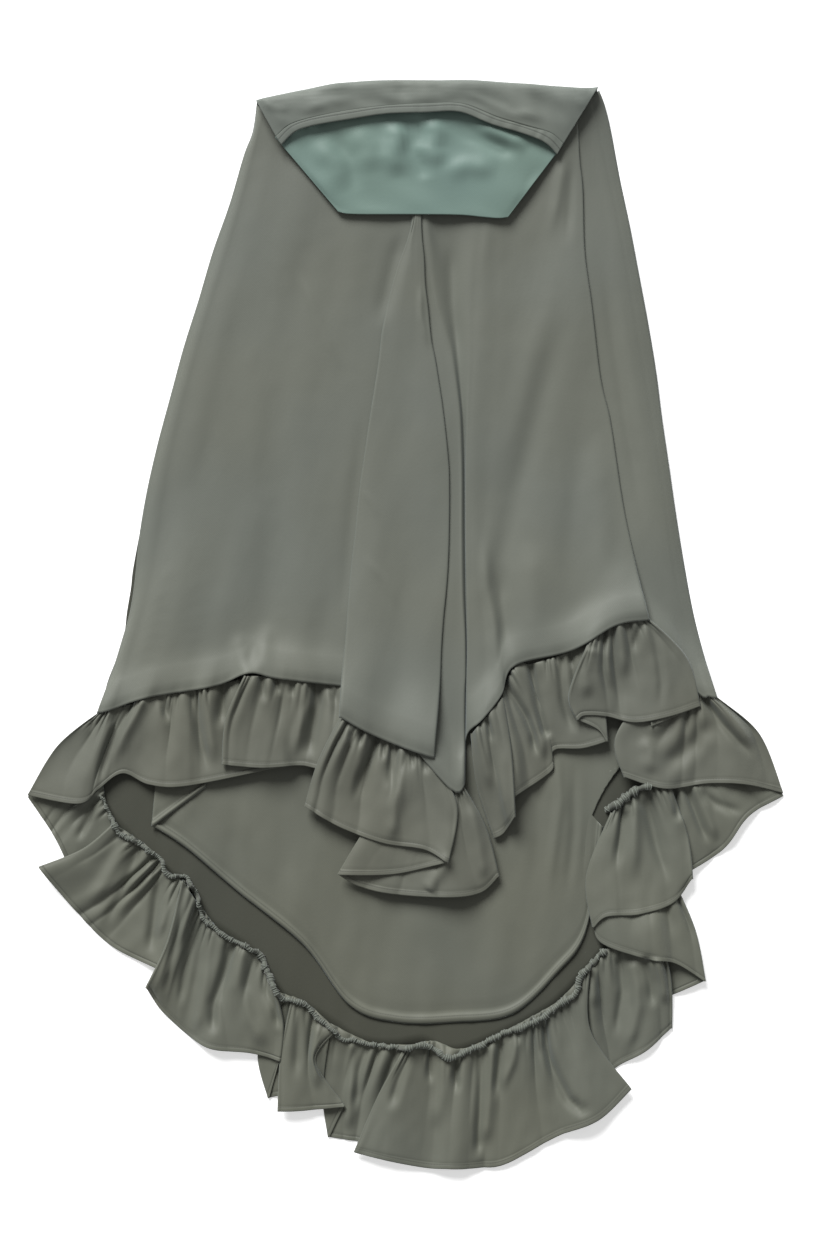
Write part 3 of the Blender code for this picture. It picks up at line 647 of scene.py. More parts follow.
CENTRE_CREASES = [
    ([(352, 724), (349, 742)], -0.0034, 3.0, 0, 0.5),
    ([(362, 730), (360, 746)], -0.0034, 2.8, 0, 0.5),
    ([(375, 738), (370, 757), (360, 778), (353, 804)], -0.0038, 4.2, 0, 0.4),
    ([(384, 743), (383, 760)], -0.0034, 2.8, 0, 0.5),
    ([(393, 747), (392, 767), (393, 786), (388, 808)], -0.0044, 4.4, 0, 0.4),
    ([(404, 750), (402, 772), (398, 797), (394, 820), (390, 842)], 0.0034, 6.0, 0, 0.2),
    ([(412, 752), (412, 768)], -0.0034, 3.0, 0, 0.5),
    ([(424, 758), (426, 774)], -0.0034, 3.0, 0, 0.5),
    ([(470, 800), (478, 840), (484, 880)], 0.0030, 6.0, 0.2, 0.2),
    ([(450, 850), (440, 870), (427, 890)], 0.0030, 6.0, 0.2, 0.1),
]
RIGHT_CREASES = [
    ([(478, 730), (484, 760), (492, 790)], 0.0026, 5.0, 0, 0.3),
    ([(488, 722), (493, 742)], -0.0034, 3.0, 0, 0.5),
    ([(505, 680), (510, 692), (518, 705), (526, 718), (532, 733), (536, 757)], -0.0048, 3.8, 0, 0.2),
    ([(514, 672), (522, 690), (532, 712), (541, 740), (545, 762)], 0.0036, 4.6, 0, 0.2),
    ([(531, 668), (535, 690), (540, 712), (547, 738)], -0.0060, 4.4, 0, 0.1),
    ([(560, 660), (561, 680), (563, 700), (568, 718), (575, 735)], -0.0040, 4.6, 0, 0.3),
    ([(572, 652), (570, 668)], -0.0034, 3.0, 0, 0.5),
    ([(603, 632), (600, 655), (602, 672), (608, 692), (612, 708)], -0.0042, 5.0, 0, 0.3),
    ([(590, 646), (584, 672), (586, 700)], 0.0034, 7.0, 0.1, 0.3),
    ([(619, 625), (623, 650), (622, 680)], 0.0032, 6.0, 0, 0.4),
    ([(640, 623), (635, 640), (632, 655)], -0.0040, 4.0, 0, 0.5),
    ([(648, 622), (653, 640), (657, 658), (660, 682), (659, 712)], -0.0028, 4.5, 0, 0.3),
]
SIDE_CREASES = [
    ([(714, 716), (695, 742), (674, 759), (656, 770)], -0.0062, 10.0, 0.25, 0.3),
    ([(702, 698), (712, 710), (722, 724), (738, 742), (754, 758)], -0.0034, 3.6, 0, 0.3),
    ([(712, 700), (724, 712), (740, 730), (756, 748)], 0.0034, 6.0, 0, 0.3),
    ([(640, 735), (650, 750), (648, 775)], 0.0030, 8.0, 0.3, 0.3),
    ([(680, 700), (660, 722), (640, 735)], 0.0030, 8.0, 0.2, 0.3),
]
BACK_CREASES = [
    ([(700, 787), (706, 797), (715, 803), (728, 808), (745, 812)], -0.0024, 4.0, 0.2, 0.3),
    ([(697, 788), (703, 800), (708, 815), (713, 830), (718, 843)], 0.0034, 5.0, 0, 0.3),
    ([(688, 790), (693, 805), (700, 825), (708, 845)], -0.0042, 4.4, 0, 0.3),
    ([(674, 790), (676, 806), (677, 822)], -0.0046, 4.0, 0, 0.3),
    ([(645, 803), (650, 825), (655, 845), (662, 865), (668, 885)], -0.0036, 5.0, 0, 0.3),
    ([(625, 815), (620, 840), (614, 870)], -0.0034, 5.0, 0, 0.4),
    ([(634, 808), (634, 840), (632, 880)], 0.0030, 6.0, 0, 0.4),
    ([(598, 960), (594, 985), (595, 1008)], 0.0036, 6.0, 0, 0.3),
    ([(632, 966), (636, 985), (637, 1005), (632, 1030), (620, 1058)], 0.0036, 6.0, 0, 0.3),
    ([(655, 962), (661, 980), (665, 1004)], 0.0032, 5.0, 0, 0.3),
    ([(618, 962), (622, 990), (615, 1040)], -0.0042, 5.0, 0, 0.3),
    ([(645, 960), (650, 982), (653, 1008)], -0.0042, 4.6, 0, 0.3),
    ([(543, 1022), (545, 1048), (552, 1065), (560, 1083), (568, 1098), (580, 1108), (594, 1105)], -0.0050, 5.0, 0, 0.2),
    ([(490, 1048), (488, 1090), (484, 1145)], 0.0040, 6.5, 0, 0.2),
    ([(516, 1042), (512, 1060), (505, 1076), (501, 1092)], 0.0032, 4.6, 0, 0.4),
    ([(500, 1045), (497, 1070), (494, 1100)], -0.0040, 4.0, 0, 0.4),
    ([(482, 1052), (481, 1080), (480, 1110), (477, 1158)], -0.0054, 4.6, 0, 0.15),
    ([(457, 1060), (455, 1075), (458, 1092)], -0.0042, 3.6, 0, 0.4),
    ([(430, 1052), (429, 1068), (430, 1084)], -0.0042, 3.6, 0, 0.4),
    ([(407, 1052), (400, 1075), (390, 1110)], -0.0042, 5.0, 0, 0.3),
    ([(444, 1055), (440, 1090), (434, 1130)], 0.0030, 7.0, 0, 0.3),
    ([(352, 1046), (350, 1080), (348, 1132)], 0.0036, 5.6, 0, 0.2),
    ([(366, 1048), (360, 1070), (354, 1112)], -0.0046, 4.4, 0, 0.3),
    ([(212, 932), (208, 958), (205, 980), (200, 1010), (195, 1036)], 0.0040, 6.5, 0, 0.2),
    ([(230, 948), (222, 978), (214, 1002), (213, 1036)], -0.0052, 5.0, 0, 0.2),
    ([(243, 952), (240, 985), (250, 1018), (268, 1048)], 0.0036, 8.0, 0, 0.2),
    ([(187, 886), (182, 905), (180, 920), (176, 945), (170, 968), (163, 996)], -0.0050, 4.4, 0, 0.2),
    ([(198, 908), (190, 940), (184, 980), (180, 1008)], -0.0040, 4.4, 0, 0.2),
    ([(262, 960), (268, 990), (275, 1006), (280, 1030)], -0.0044, 5.0, 0, 0.2),
    ([(140, 845), (132, 868), (125, 885), (118, 900), (102, 930)], -0.0048, 6.0, 0, 0.25),
    ([(128, 842), (116, 864), (104, 884), (88, 905)], 0.0034, 7.0, 0, 0.3),
    ([(157, 858), (158, 885), (155, 910), (150, 955)], -0.0052, 5.5, 0, 0.2),
    ([(172, 878), (168, 905), (158, 940)], 0.0034, 5.0, 0, 0.3),
    ([(96, 800), (88, 820), (76, 842)], -0.0034, 4.0, 0, 0.3),
    ([(300, 1004), (298, 1040), (296, 1080)], -0.0034, 5.0, 0, 0.3),
    ([(318, 1030), (314, 1060), (318, 1090)], 0.0030, 5.0, 0, 0.3),
]
BACK = [
    ("left_outline", 262, 104, 166, 420, 100, 715),
    ("left_return", 268, 103, 180, 440, 101, 792),
    ("left_low", 276, 102, 205, 470, 131, 834),
    ("left_deep", 284, 101, 226, 485, 168, 871),
    ("left_turn", 290, 101, 238, 500, 186, 881),
    ("left_foot", 299, 100, 250, 520, 203, 914),
    ("foot_1", 312, 99, 280, 540, 257, 954),
    ("foot_2", 328, 98, 300, 560, 277, 990),
    ("foot_3", 346, 97, 330, 570, 319, 1013),
    ("foot_4", 366, 96, 360, 575, 362, 1040),
    ("centre_l", 390, 96, 392, 575, 394, 1044),
    ("centre", 408, 96, 415, 575, 424, 1040),
    ("centre_m", 426, 96, 440, 575, 453, 1051),
    ("centre_r", 448, 96, 470, 575, 506, 1031),
    ("foot_5", 474, 96, 505, 565, 549, 1006),
    ("foot_6", 500, 96, 530, 550, 584, 971),
    ("foot_7", 524, 96, 555, 530, 604, 946),
    ("right_foot", 546, 96, 575, 510, 636, 900),
    ("right_deep", 564, 96, 600, 480, 650, 845),
    ("right_low", 580, 97, 625, 450, 654, 797),
    ("right_return", 590, 98, 648, 430, 690, 742),
    ("right_outline", 596, 100, 664, 420, 714, 700),
]
INNER = [
    ("flap_edge", 262, 300, 226, 560, 206, 787, 2, 2),
    ("left_fold", 222, 300, 176, 580, 152, 826, 2, 1),
    ("left", 240, 300, 206, 600, 187, 848, 1, 1),
    ("left_low", 268, 300, 250, 620, 240, 893, 1, 1),
    ("left_foot", 300, 300, 300, 650, 304, 945, 1, 1),
    ("foot", 332, 300, 338, 680, 350, 1005, 1, 1),
    ("centre_l", 365, 300, 380, 690, 396, 1022, 1, 1),
    ("centre_r", 420, 300, 440, 690, 454, 1022, 1, 1),
    ("right_foot", 470, 300, 495, 680, 512, 1014, 1, 1),
    ("right_low", 510, 300, 530, 660, 556, 974, 1, 1),
    ("right", 540, 300, 562, 640, 586, 930, 1, 1),
    ("right_edge", 562, 300, 580, 600, 602, 826, 1, 1),
]
RUFFLE_LEFT = [
    ("outline", 98, 714, 58, 746, 28, 795, 3.4, 3.4),
    ("crest_1", 112, 711, 97, 755, 80, 803, 5.6, 5.6),
    ("valley_1", 131, 706, 109, 750, 99, 789, 4.6, 4.6),
    ("crest_2", 146, 700, 130, 738, 123, 773, 6.4, 6.4),
    ("valley_2", 166, 696, 158, 742, 150, 784, 5.4, 5.4),
    ("crest_3", 190, 693, 190, 740, 190, 785, 6.2, 6.2),
    ("under_1", 258, 678, 270, 722, 282, 766, 6, 7),
    ("edge_2", 245, 678, 227, 718, 223, 764, 7, 9.4),
    ("crest_4", 280, 679, 272, 722, 262, 767, 9.2, 9.2),
    ("valley_3", 309, 681, 304, 725, 298, 765, 5.6, 5.6),
    ("crest_5", 325, 682, 318, 725, 313, 767, 6, 6),
    ("tucked_end", 352, 690, 350, 735, 346, 776, 5.8, 5.8),
]
RUFFLE_CENTRE = [
    ("tucked_start", 368, 724, 362, 770, 358, 815, 7, 7),
    ("edge_left", 340, 718, 318, 762, 305, 806, 7, 8),
    ("valley_1", 366, 731, 350, 785, 340, 826, 8.2, 8.2),
    ("crest_1", 396, 747, 392, 795, 384, 842, 8.6, 8.6),
    ("crest_2", 418, 755, 424, 800, 424, 848, 8.2, 8.2),
    ("edge_right", 435, 761, 457, 806, 448, 861, 8, 7),
    ("under_mid", 424, 765, 414, 820, 395, 873, 6.9, 6.9),
    ("tucked_left", 412, 768, 372, 818, 338, 873, 7, 6),
    ("second_0", 419, 773, 384, 838, 358, 885, 6.2, 6.2),
    ("second_1", 428, 778, 410, 834, 392, 893, 6.2, 6.2),
    ("second_2", 448, 787, 446, 838, 446, 896, 6.2, 6.2),
    ("second_3", 457, 788, 470, 842, 480, 892, 6.4, 6.4),
    ("second_edge", 464, 787, 486, 828, 499, 876, 6, 5),
    ("second_under", 456, 789, 462, 830, 466, 872, 5, 5),
]
RUFFLE_RIGHT = [
    ("under_a", 485, 727, 491, 778, 503, 824, 5, 5),
    ("edge_a", 471, 736, 477, 785, 494, 838, 5, 6),
    ("crest_a", 484, 721, 494, 775, 504, 832, 6.5, 6.5),
    ("edge_a_right", 503, 700, 511, 752, 515, 816, 6, 5),
    ("under_b", 496, 712, 498, 752, 506, 800, 5, 4),
    ("edge_b", 515, 668, 543, 722, 550, 772, 4.6, 4.6),
    ("gap_b_c", 530, 667, 540, 716, 551, 758, 1.4, 1.4),
    ("edge_c", 541, 664, 546, 714, 556, 749, 4.8, 4.8),
    ("flat_c", 560, 658, 570, 702, 582, 748, 5, 5),
    ("under_d", 598, 640, 603, 692, 607, 741, 5, 6),
    ("curl_d", 594, 643, 590, 694, 597, 729, 6.6, 6.6),
    ("edge_d", 586, 646, 568, 693, 576, 720, 6.8, 8.4),
    ("loop_d", 592, 640, 580, 690, 584, 715, 8.4, 8.4),
    ("valley_d", 603, 630, 602, 672, 606, 716, 8.2, 8.2),
    ("crest_d", 620, 623, 627, 672, 634, 722, 8.6, 8.6),
    ("crest_e", 636, 621, 656, 666, 668, 716, 8.4, 8.4),
    ("edge_e", 648, 620, 686, 658, 699, 706, 8, 6),
    ("under_e", 632, 628, 642, 680, 650, 726, 6, 6),
]
RUFFLE_SIDE = [
    ("under_left", 674, 686, 650, 735, 648, 772, 4, 4),
    ("edge_left", 656, 680, 615, 735, 623, 777, 4, 5),
    ("crest_1", 680, 689, 668, 735, 664, 788, 5, 5),
    ("valley_1", 698, 694, 708, 738, 708, 783, 5, 5),
    ("crest_2", 708, 697, 736, 732, 745, 784, 4.8, 4.8),
    ("outline", 717, 699, 759, 734, 783, 793, 1.6, 1.6),
]
RUFFLE_BACK = [
    ("right_outline", 717, 702, 759, 738, 783, 796, 0, 0),
    ("right_1", 700, 732, 727, 782, 748, 816, 0, 0),
    ("right_2", 684, 760, 706, 812, 722, 850, 0, 0),
    ("tucked_1", 658, 800, 668, 838, 683, 874, 0, 1),
    ("edge_d", 671, 790, 687, 836, 692, 878, 1, 4),
    ("crest_d1", 650, 789, 668, 848, 672, 902, 4.2, 4.2),
    ("crest_d2", 630, 797, 636, 855, 638, 913, 4, 4),
    ("curl_d", 618, 806, 606, 864, 606, 915.5, 4, 4),
    ("fold_d_left", 610, 815, 586, 875, 592, 927, 4, 3),
    ("curl_e", 618, 830, 600, 890, 602, 943, 3, 3),
    ("flat_e", 634, 845, 640, 900, 644, 957, 3, 3),
    ("swell_e", 655, 865, 668, 915, 674, 962, 3, 3),
    ("fold_e_right", 676, 886, 695, 930, 705, 980, 3, 0),
    ("tucked_2", 642, 930, 652, 960, 660, 1000, 0, 1),
    ("fold_g_right", 655, 925, 670, 975, 672, 1028, 1, 2),
    ("crest_g", 630, 940, 640, 990, 646, 1050, 2, 2),
    ("crest_g2", 608, 950, 612, 1004, 618, 1066, 2, 2),
    ("tucked_3", 576, 990, 586, 1034, 598, 1082, 2, 3),
    ("fold_h_right", 590, 970, 590, 1030, 631, 1088, 3, 4),
    ("crest_h", 562, 1000, 580, 1060, 600, 1117, 4, 4),
    ("valley_h", 540, 1014, 548, 1080, 556, 1136, 3.6, 3.6),
    ("crest_i", 510, 1030, 510, 1098, 506, 1163, 3.8, 3.8),
    ("gap_i_j", 484, 1043, 482, 1102, 479, 1167, 2.4, 2.4),
    ("crest_j", 458, 1051, 452, 1110, 446, 1167, 3, 3),
    ("valley_j", 432, 1043, 428, 1105, 420, 1166, 2.2, 2.2),
    ("fold_j_left", 404, 1047, 378, 1095, 354, 1151, 2, 1),
    ("tucked_4", 420, 1047, 406, 1098, 390, 1145, 1, 0),
    ("flat_k", 372, 1045, 358, 1092, 350, 1140, 0, 0),
    ("fold_k_left", 330, 1026, 322, 1085, 328, 1137, 0, 1),
    ("fold_l_right", 338, 1032, 316, 1060, 345, 1105, 1, 2),
    ("crest_l", 310, 1008, 306, 1060, 306, 1109, 2.2, 2.2),
    ("fold_l_left", 292, 998, 281, 1052, 278, 1110, 2, 1),
    ("tucked_5", 302, 1002, 298, 1046, 300, 1090, 1, 0),
    ("fold_m_left", 278, 994, 258, 1050, 268, 1098, 0, 1),
    ("fold_n_right", 276, 988, 284, 1024, 281, 1060, 1, 2),
    ("crest_n1", 252, 953, 240, 1000, 250, 1052, 2.2, 2.2),
    ("crest_n2", 220, 933, 208, 990, 204, 1045, 2, 2),
    ("valley_n3", 200, 908, 176, 968, 164, 1013, 2, 2),
    ("fold_n_left", 182, 882, 168, 940, 146, 987, 2, 1),
    ("tucked_6", 190, 888, 182, 930, 168, 972, 1, 0),
    ("flat_o", 168, 874, 140, 915, 112, 946, 0, 0),
    ("crest_o", 150, 851, 108, 886, 72, 906, 1.4, 1.4),
    ("fold_o_left", 112, 824, 84, 848, 40, 866, 2, 1),
    ("tucked_7", 116, 830, 94, 860, 74, 880, 1, 0),
    ("flat_p", 103, 798, 76, 822, 58, 842, 0, 0),
    ("left_outline", 98, 717, 60, 748, 28, 797, 0, 0),
]
CROWN = [
    ("left_edge", 277, 140, 257, 103.5, 0.0010),
    ("left_inner", 290, 129, 268, 101, 0.0042),
    ("left", 311, 122, 296, 95, 0.0056),
    ("left_middle", 347, 115, 340, 87, 0.0060),
    ("centre_left", 385, 110, 388, 84, 0.0060),
    ("centre", 425, 108, 430, 84, 0.0060),
    ("centre_right", 462, 108, 470, 84, 0.0060),
    ("right_middle", 496, 121, 516, 87, 0.0060),
    ("right", 526, 130, 556, 90, 0.0056),
    ("right_inner", 549, 137, 583, 91.5, 0.0042),
    ("right_edge", 562, 147.5, 597, 90.5, 0.0010),
]
HEM = [
    ("left_edge", 277.8, 141.2, 282, 147.5),
    ("left_inner", 291.4, 130.2, 295.5, 135.2),
    ("left", 312, 123.4, 314, 129),
    ("left_middle", 347, 116.4, 348, 123),
    ("centre_left", 385, 111.4, 385, 117.4),
    ("centre", 425, 109.4, 424, 116),
    ("centre_right", 461, 109.4, 459, 115.4),
    ("right_middle", 495, 122.4, 491, 127.6),
    ("right", 525, 131.4, 522, 136.6),
    ("right_inner", 548.2, 138.4, 544, 145.5),
    ("right_edge", 561, 148.8, 556.5, 157),
]
LINING = [
    ("left_edge", 276, 140, 338, 213, 0.0010),
    ("left_inner", 281, 127, 346, 215, 0.0002),
    ("left", 302, 110, 362, 215.5, 0.0),
    ("left_middle", 350, 102, 385, 215.5, 0.0),
    ("centre", 425, 100, 422, 215.5, 0.0),
    ("right_middle", 500, 100, 460, 216, 0.0),
    ("right", 540, 106, 482, 218, 0.0),
    ("right_inner", 556, 126, 498, 219.5, 0.0002),
    ("right_edge", 562.5, 147, 508, 218.5, 0.0010),
]
BACK_RIGHT = [(595, 94), (601, 110), (606, 132), (615, 180), (625, 228), (634, 276), (643, 324), (651, 372), (657, 420), (664, 468), (671, 516), (679, 564), (688, 612), (700, 660), (712, 698)]
BACK_LEFT = [(262, 104), (232, 200), (205, 285), (172, 400), (148, 495), (134, 564), (131, 588), (127, 612), (124, 636), (116, 660), (107, 684), (100, 715)]
INNER_RIGHT = [(575, 300), (610, 560), (632, 690), (634, 745), (617, 766), (600, 775), (587, 785), (584, 797), (590, 812), (603, 827)]
HOOD_CREASES = [
    ([(460, 97), (480, 104), (501, 113), (511, 120), (526, 119), (547, 124)], 0.0014, 4.0, 0.2),
    ([(300, 118), (330, 106), (360, 103)], 0.0010, 5.0, 0.3),
    ([(396, 92), (404, 100), (410, 107)], -0.0009, 4.0, 0.3),
    ([(262, 106), (275, 112), (292, 114)], 0.0010, 4.0, 0.3),
]
LINING_CREASES = [
    ([(404, 117), (414, 134), (410, 152), (420, 168), (428, 184)], -0.0036, 7.0, 0.25),
    ([(392, 120), (398, 140), (392, 160), (400, 182)], 0.0030, 9.0, 0.3),
    ([(430, 117), (436, 136), (432, 152), (444, 170)], 0.0034, 9.0, 0.3),
    ([(456, 120), (470, 136), (492, 148), (520, 156)], -0.0030, 8.0, 0.3),
    ([(474, 126), (504, 140), (530, 150)], 0.0030, 7.0, 0.3),
    ([(440, 176), (466, 168), (500, 172)], 0.0026, 10.0, 0.35),
    ([(350, 128), (368, 150), (372, 178)], 0.0022, 12.0, 0.35),
    ([(312, 142), (332, 166), (346, 196)], 0.0022, 12.0, 0.35),
    ([(330, 136), (350, 162), (358, 196)], -0.0018, 8.0, 0.35),
]
SEAM_LINE = [
    (100, 795), (104, 799), (107, 806), (111, 815), (117, 828), (123, 834), (132, 838), (141, 843), (150, 851), (158, 855), (163, 862),
    (166, 870), (170, 875), (185, 876), (190, 881), (195, 890), (199, 900), (203, 915), (215, 928), (230, 938), (240, 943), (250, 947),
    (258, 952), (264, 962), (270, 975), (277, 990), (285, 997), (300, 1000), (310, 1007), (318, 1017), (325, 1022), (335, 1030),
    (342, 1038), (355, 1040), (375, 1044), (390, 1046), (402, 1047), (410, 1045), (420, 1043), (430, 1046), (440, 1052), (450, 1056),
    (460, 1054), (470, 1048), (480, 1045), (490, 1038), (500, 1034), (515, 1027), (530, 1022), (545, 1014), (557, 1005), (568, 997),
    (576, 990), (580, 973), (592, 962), (605, 948),
]
SEAM_WIDTHS = [(0, 3.5), (0.03, 4), (0.05, 7), (0.09, 7), (0.12, 4.5), (0.32, 5.5), (0.38, 8), (0.45, 7), (0.5, 5), (0.6, 5), (0.66, 7.5), (1, 8)]
SIDE_LINE = [(606, 812), (612, 806), (620, 800), (628, 795), (635, 790), (642, 786), (650, 785)]


# ---- laying the pieces ----
TS_BODY = np.concatenate([np.linspace(0, 0.955, 150), [0.967, 0.977, 0.985, 0.991, 0.996, 1.0]])
BODY_STEP = 3.9
RUFFLE_STEP = 1.7


def ruffle_rows(table, gap=3.0):
    rows = []
    for _, sx, sy, mx, my, hx, hy, lo, hi in table:
        a, m, b = (np.array(p, float) for p in ((sx, sy), (mx, my), (hx, hy)))
        a = a - gap * (b - a) / np.linalg.norm(b - a)
        rows.append((curve([a, m, b], TS_RUFFLE), lo, hi))
    return rows


ts_back = np.concatenate([np.linspace(0, 0.96, 90), [0.975, 0.988, 1.0]])
rows = []
for name, tx, ty, mx, my, sx, sy in BACK:
    points = {"left_outline": BACK_LEFT, "right_outline": BACK_RIGHT}.get(name, [(tx, ty), (mx, my), (sx, sy)])
    line = curve(points, ts_back)
    line[-3:] += np.array([[0.0], [4.0], [9.0]]) * (line[-1] - line[-4]) / np.linalg.norm(line[-1] - line[-4])
    rows.append((line, 0, 0))
plan_sheet("back_panel", rows, ts_back, 6.0, body([], 0.0003, 0.0002), INSIDE_PAINTED_SHADE, wall=CLOTH)

ts_inner = np.concatenate([np.linspace(0, 0.95, 110), 1 - np.array([24, 18, 13, 10, 8.4, 7.4, 6.6, 5.8, 4.6, 3.2, 1.6, 0]) / 700])
rows = [
    (curve(INNER_RIGHT if name == "right_edge" else [(a, b), (c, d), (e, f)], ts_inner), lo, hi)
    for name, a, b, c, d, e, f, lo, hi in INNER
]


def inner_relief(xy, s, t):
    from_hem = (1 - t) * 700
    z = body(INNER_CREASES, 0.0012, 0.0004, 0.0001)(xy, s, t)
    z = z * smooth(from_hem / 20 + 0.3)
    z = z + 0.0026 * np.exp(-(((from_hem - 4.0) / 4.2) ** 2)) - 0.0009 * np.exp(-(((from_hem - 11.0) / 4.0) ** 2))
    z = z + 0.0012 * noise_1d(s, 70, 35) * np.exp(-((from_hem / 24) ** 2))
    return z + 0.0003 * noise_1d(s, 14, 33) * np.exp(-((from_hem / 14) ** 2))


plan_sheet("inner_panel", rows, ts_inner, 3.6, inner_relief, INNER_FACE, reach=2)

rows = [(curve(points, TS_BODY), lo, hi) for _, points, lo, hi in FRONT]


def front_relief(xy, s, t):
    """The panel sinks onto the ruffle's gathered top along the seam."""
    to_seam = (1 - t) * 590
    pucker = np.abs(np.sin(math.pi * (s / 10.5 + 0.8 * noise_1d(s, 40, 17)))) ** 0.8 - 0.6
    drawn = 0.0009 * pucker * (0.7 + 0.5 * noise_1d(s, 60, 18)) * np.exp(-((to_seam / 10.0) ** 2))
    return body(FRONT_CREASES)(xy, s, t) - 0.0040 * np.exp(-((to_seam / 8.0) ** 2)) + drawn


plan_sheet("front_panel", rows, TS_BODY, BODY_STEP, front_relief, FACE, fold_round=1.8, reach=2, shift=3.6 * STEP)

plan_sheet("front_ruffle_left", ruffle_rows(RUFFLE_LEFT), TS_RUFFLE, RUFFLE_STEP, gathers(11, LEFT_CREASES, depth=92, float_up=0.0010), FACE_RUFFLE, reach=4)
plan_sheet("front_ruffle_centre", ruffle_rows(RUFFLE_CENTRE), TS_RUFFLE, RUFFLE_STEP, gathers(23, CENTRE_CREASES, depth=100, float_up=0.0025), FACE_RUFFLE, shift=1.0 * STEP, reach=4)
plan_sheet("front_ruffle_right", ruffle_rows(RUFFLE_RIGHT), TS_RUFFLE, RUFFLE_STEP, gathers(37, RIGHT_CREASES, depth=95, float_up=0.0025, rise=0.0022, waves=1.3), FACE_RUFFLE, reach=4)
plan_sheet("side_ruffle", ruffle_rows(RUFFLE_SIDE), TS_RUFFLE, RUFFLE_STEP, gathers(41, SIDE_CREASES, depth=95, rise=-0.0010, float_up=0.0012, waves=1.3), FACE_RUFFLE)
plan_sheet("back_ruffle", ruffle_rows(RUFFLE_BACK), TS_RUFFLE, RUFFLE_STEP, gathers(57, BACK_CREASES, depth=110, float_up=0.0016, waves=1.2), INSIDE_RUFFLE)

lay_all()
SHEETS = {piece["name"]: build_sheet(piece) for piece in PIECES}


# ---- the overlocked seam allowance: a lumpy gathered cord, with thread looped round it ----
def tube(name, centre, radius, sides, look):
    """A tube round a 3D centreline with a radius at each point."""
    along = np.gradient(centre, axis=0)
    along /= np.linalg.norm(along, axis=1)[:, None] + 1e-12
    side = np.cross(along, [0.0, 0.0, 1.0])
    side /= np.linalg.norm(side, axis=1)[:, None] + 1e-12
    up = np.cross(side, along)
    angle = np.arange(sides) * 2 * math.pi / sides
    ring = side[:, None] * np.cos(angle)[None, :, None] + up[:, None] * np.sin(angle)[None, :, None]
    points = centre[:, None] + ring * radius[:, None, None]
    n = len(centre)
    verts = points.reshape(-1, 3).tolist() + [centre[0].tolist(), centre[-1].tolist()]
    faces = [
        (i * sides + k, i * sides + (k + 1) % sides, (i + 1) * sides + (k + 1) % sides, (i + 1) * sides + k)
        for i in range(n - 1)
        for k in range(sides)
    ]
    faces += [(k, n * sides, (k + 1) % sides) for k in range(sides)]
    faces += [((n - 1) * sides + (k + 1) % sides, n * sides + 1, (n - 1) * sides + k) for k in range(sides)]
    mesh = bpy.data.meshes.new(name)
    mesh.from_pydata(verts, [], faces)
    mesh.shade_smooth()
    mesh.materials.append(look)
    made = bpy.data.objects.new(name, mesh)
    bpy.context.scene.collection.objects.link(made)
    return made


def overlock(name, points, widths, seed, base=None):
    """The cord and its thread. widths are (place along it, width in plan units)."""
    length = np.linalg.norm(np.diff(np.array(points, float), axis=0), axis=1).sum()
    n = int(length / 1.4)
    ts = np.linspace(0, 1, n + 1)
    line = curve(points, ts)
    s = ts * length
    wide = np.interp(ts, *zip(*widths))
    normal = np.gradient(line, axis=0)
    normal = np.stack([-normal[:, 1], normal[:, 0]], 1)
    normal /= np.linalg.norm(normal, axis=1)[:, None]
    line = line + normal * (0.9 * noise_1d(s, 7, seed) + 0.6 * noise_1d(s, 17, seed + 1))[:, None]
    radius = wide / 2 * U * (0.80 + 0.26 * noise_1d(s, 5, seed + 2))
    radius *= np.sqrt(np.clip(np.minimum(s, length - s) / 2.0, 0.08, 1))
    ground = HEIGHT.at(line, 2) if base is None else np.full(n + 1, base)
    for _ in range(3):
        ground = np.maximum(ground, np.convolve(np.pad(ground, 2, mode="edge"), np.ones(5) / 5, "valid"))
    centre = world(line, ground + np.minimum(radius, 0.0024) * 0.75 + 0.0002)
    cord = tube(name, centre, radius * 0.9, 10, BINDING)
    turn = 2.3  # plan units in one loop of the thread
    m = int(length / turn * 9)
    tt = np.linspace(0, 1, m)
    c = np.stack([np.interp(tt, ts, centre[:, k]) for k in range(3)], 1)
    r = np.interp(tt, ts, radius)
    tangent = np.gradient(c, axis=0)
    tangent /= np.linalg.norm(tangent, axis=1)[:, None]
    side = np.cross(tangent, [0, 0, 1.0])
    up = np.cross(side, tangent)
    phase = 2 * math.pi * tt * length / turn + 1.6 * noise_1d(tt * length, 6, seed + 4)
    reach = r * (1.0 + 0.24 * noise_1d(tt * length, 2.6, seed + 5))
    loops = c + side * (np.cos(phase) * reach)[:, None] + up * (np.sin(phase) * reach)[:, None]
    loops[:, 2] = np.maximum(loops[:, 2], 0.0007)
    return cord, tube(name + "_thread", loops, np.full(m, 0.00042), 5, THREAD)


back_cord, back_thread = overlock("back_seam_cord", SEAM_LINE, SEAM_WIDTHS, 71)
side_cord, side_thread = overlock("side_seam_cord", SIDE_LINE, [(0, 8.0), (0.25, 10.0), (0.7, 9.5), (1, 8.5)], 83)


# ---- the hood ----
def loft(grid, per_c, per_r):
    """A finer surface through a grid of 3D points."""
    g = np.asarray(grid, float)
    for per in (per_c, per_r):
        out = []
        for i in range(len(g) - 1):
            a, d = g[max(i - 1, 0)], g[min(i + 2, len(g) - 1)]
            out += [catmull(a, g[i], g[i + 1], d, k / per) for k in range(per)]
        g = np.swapaxes(np.array(out + [g[-1]]), 0, 1)
    return g


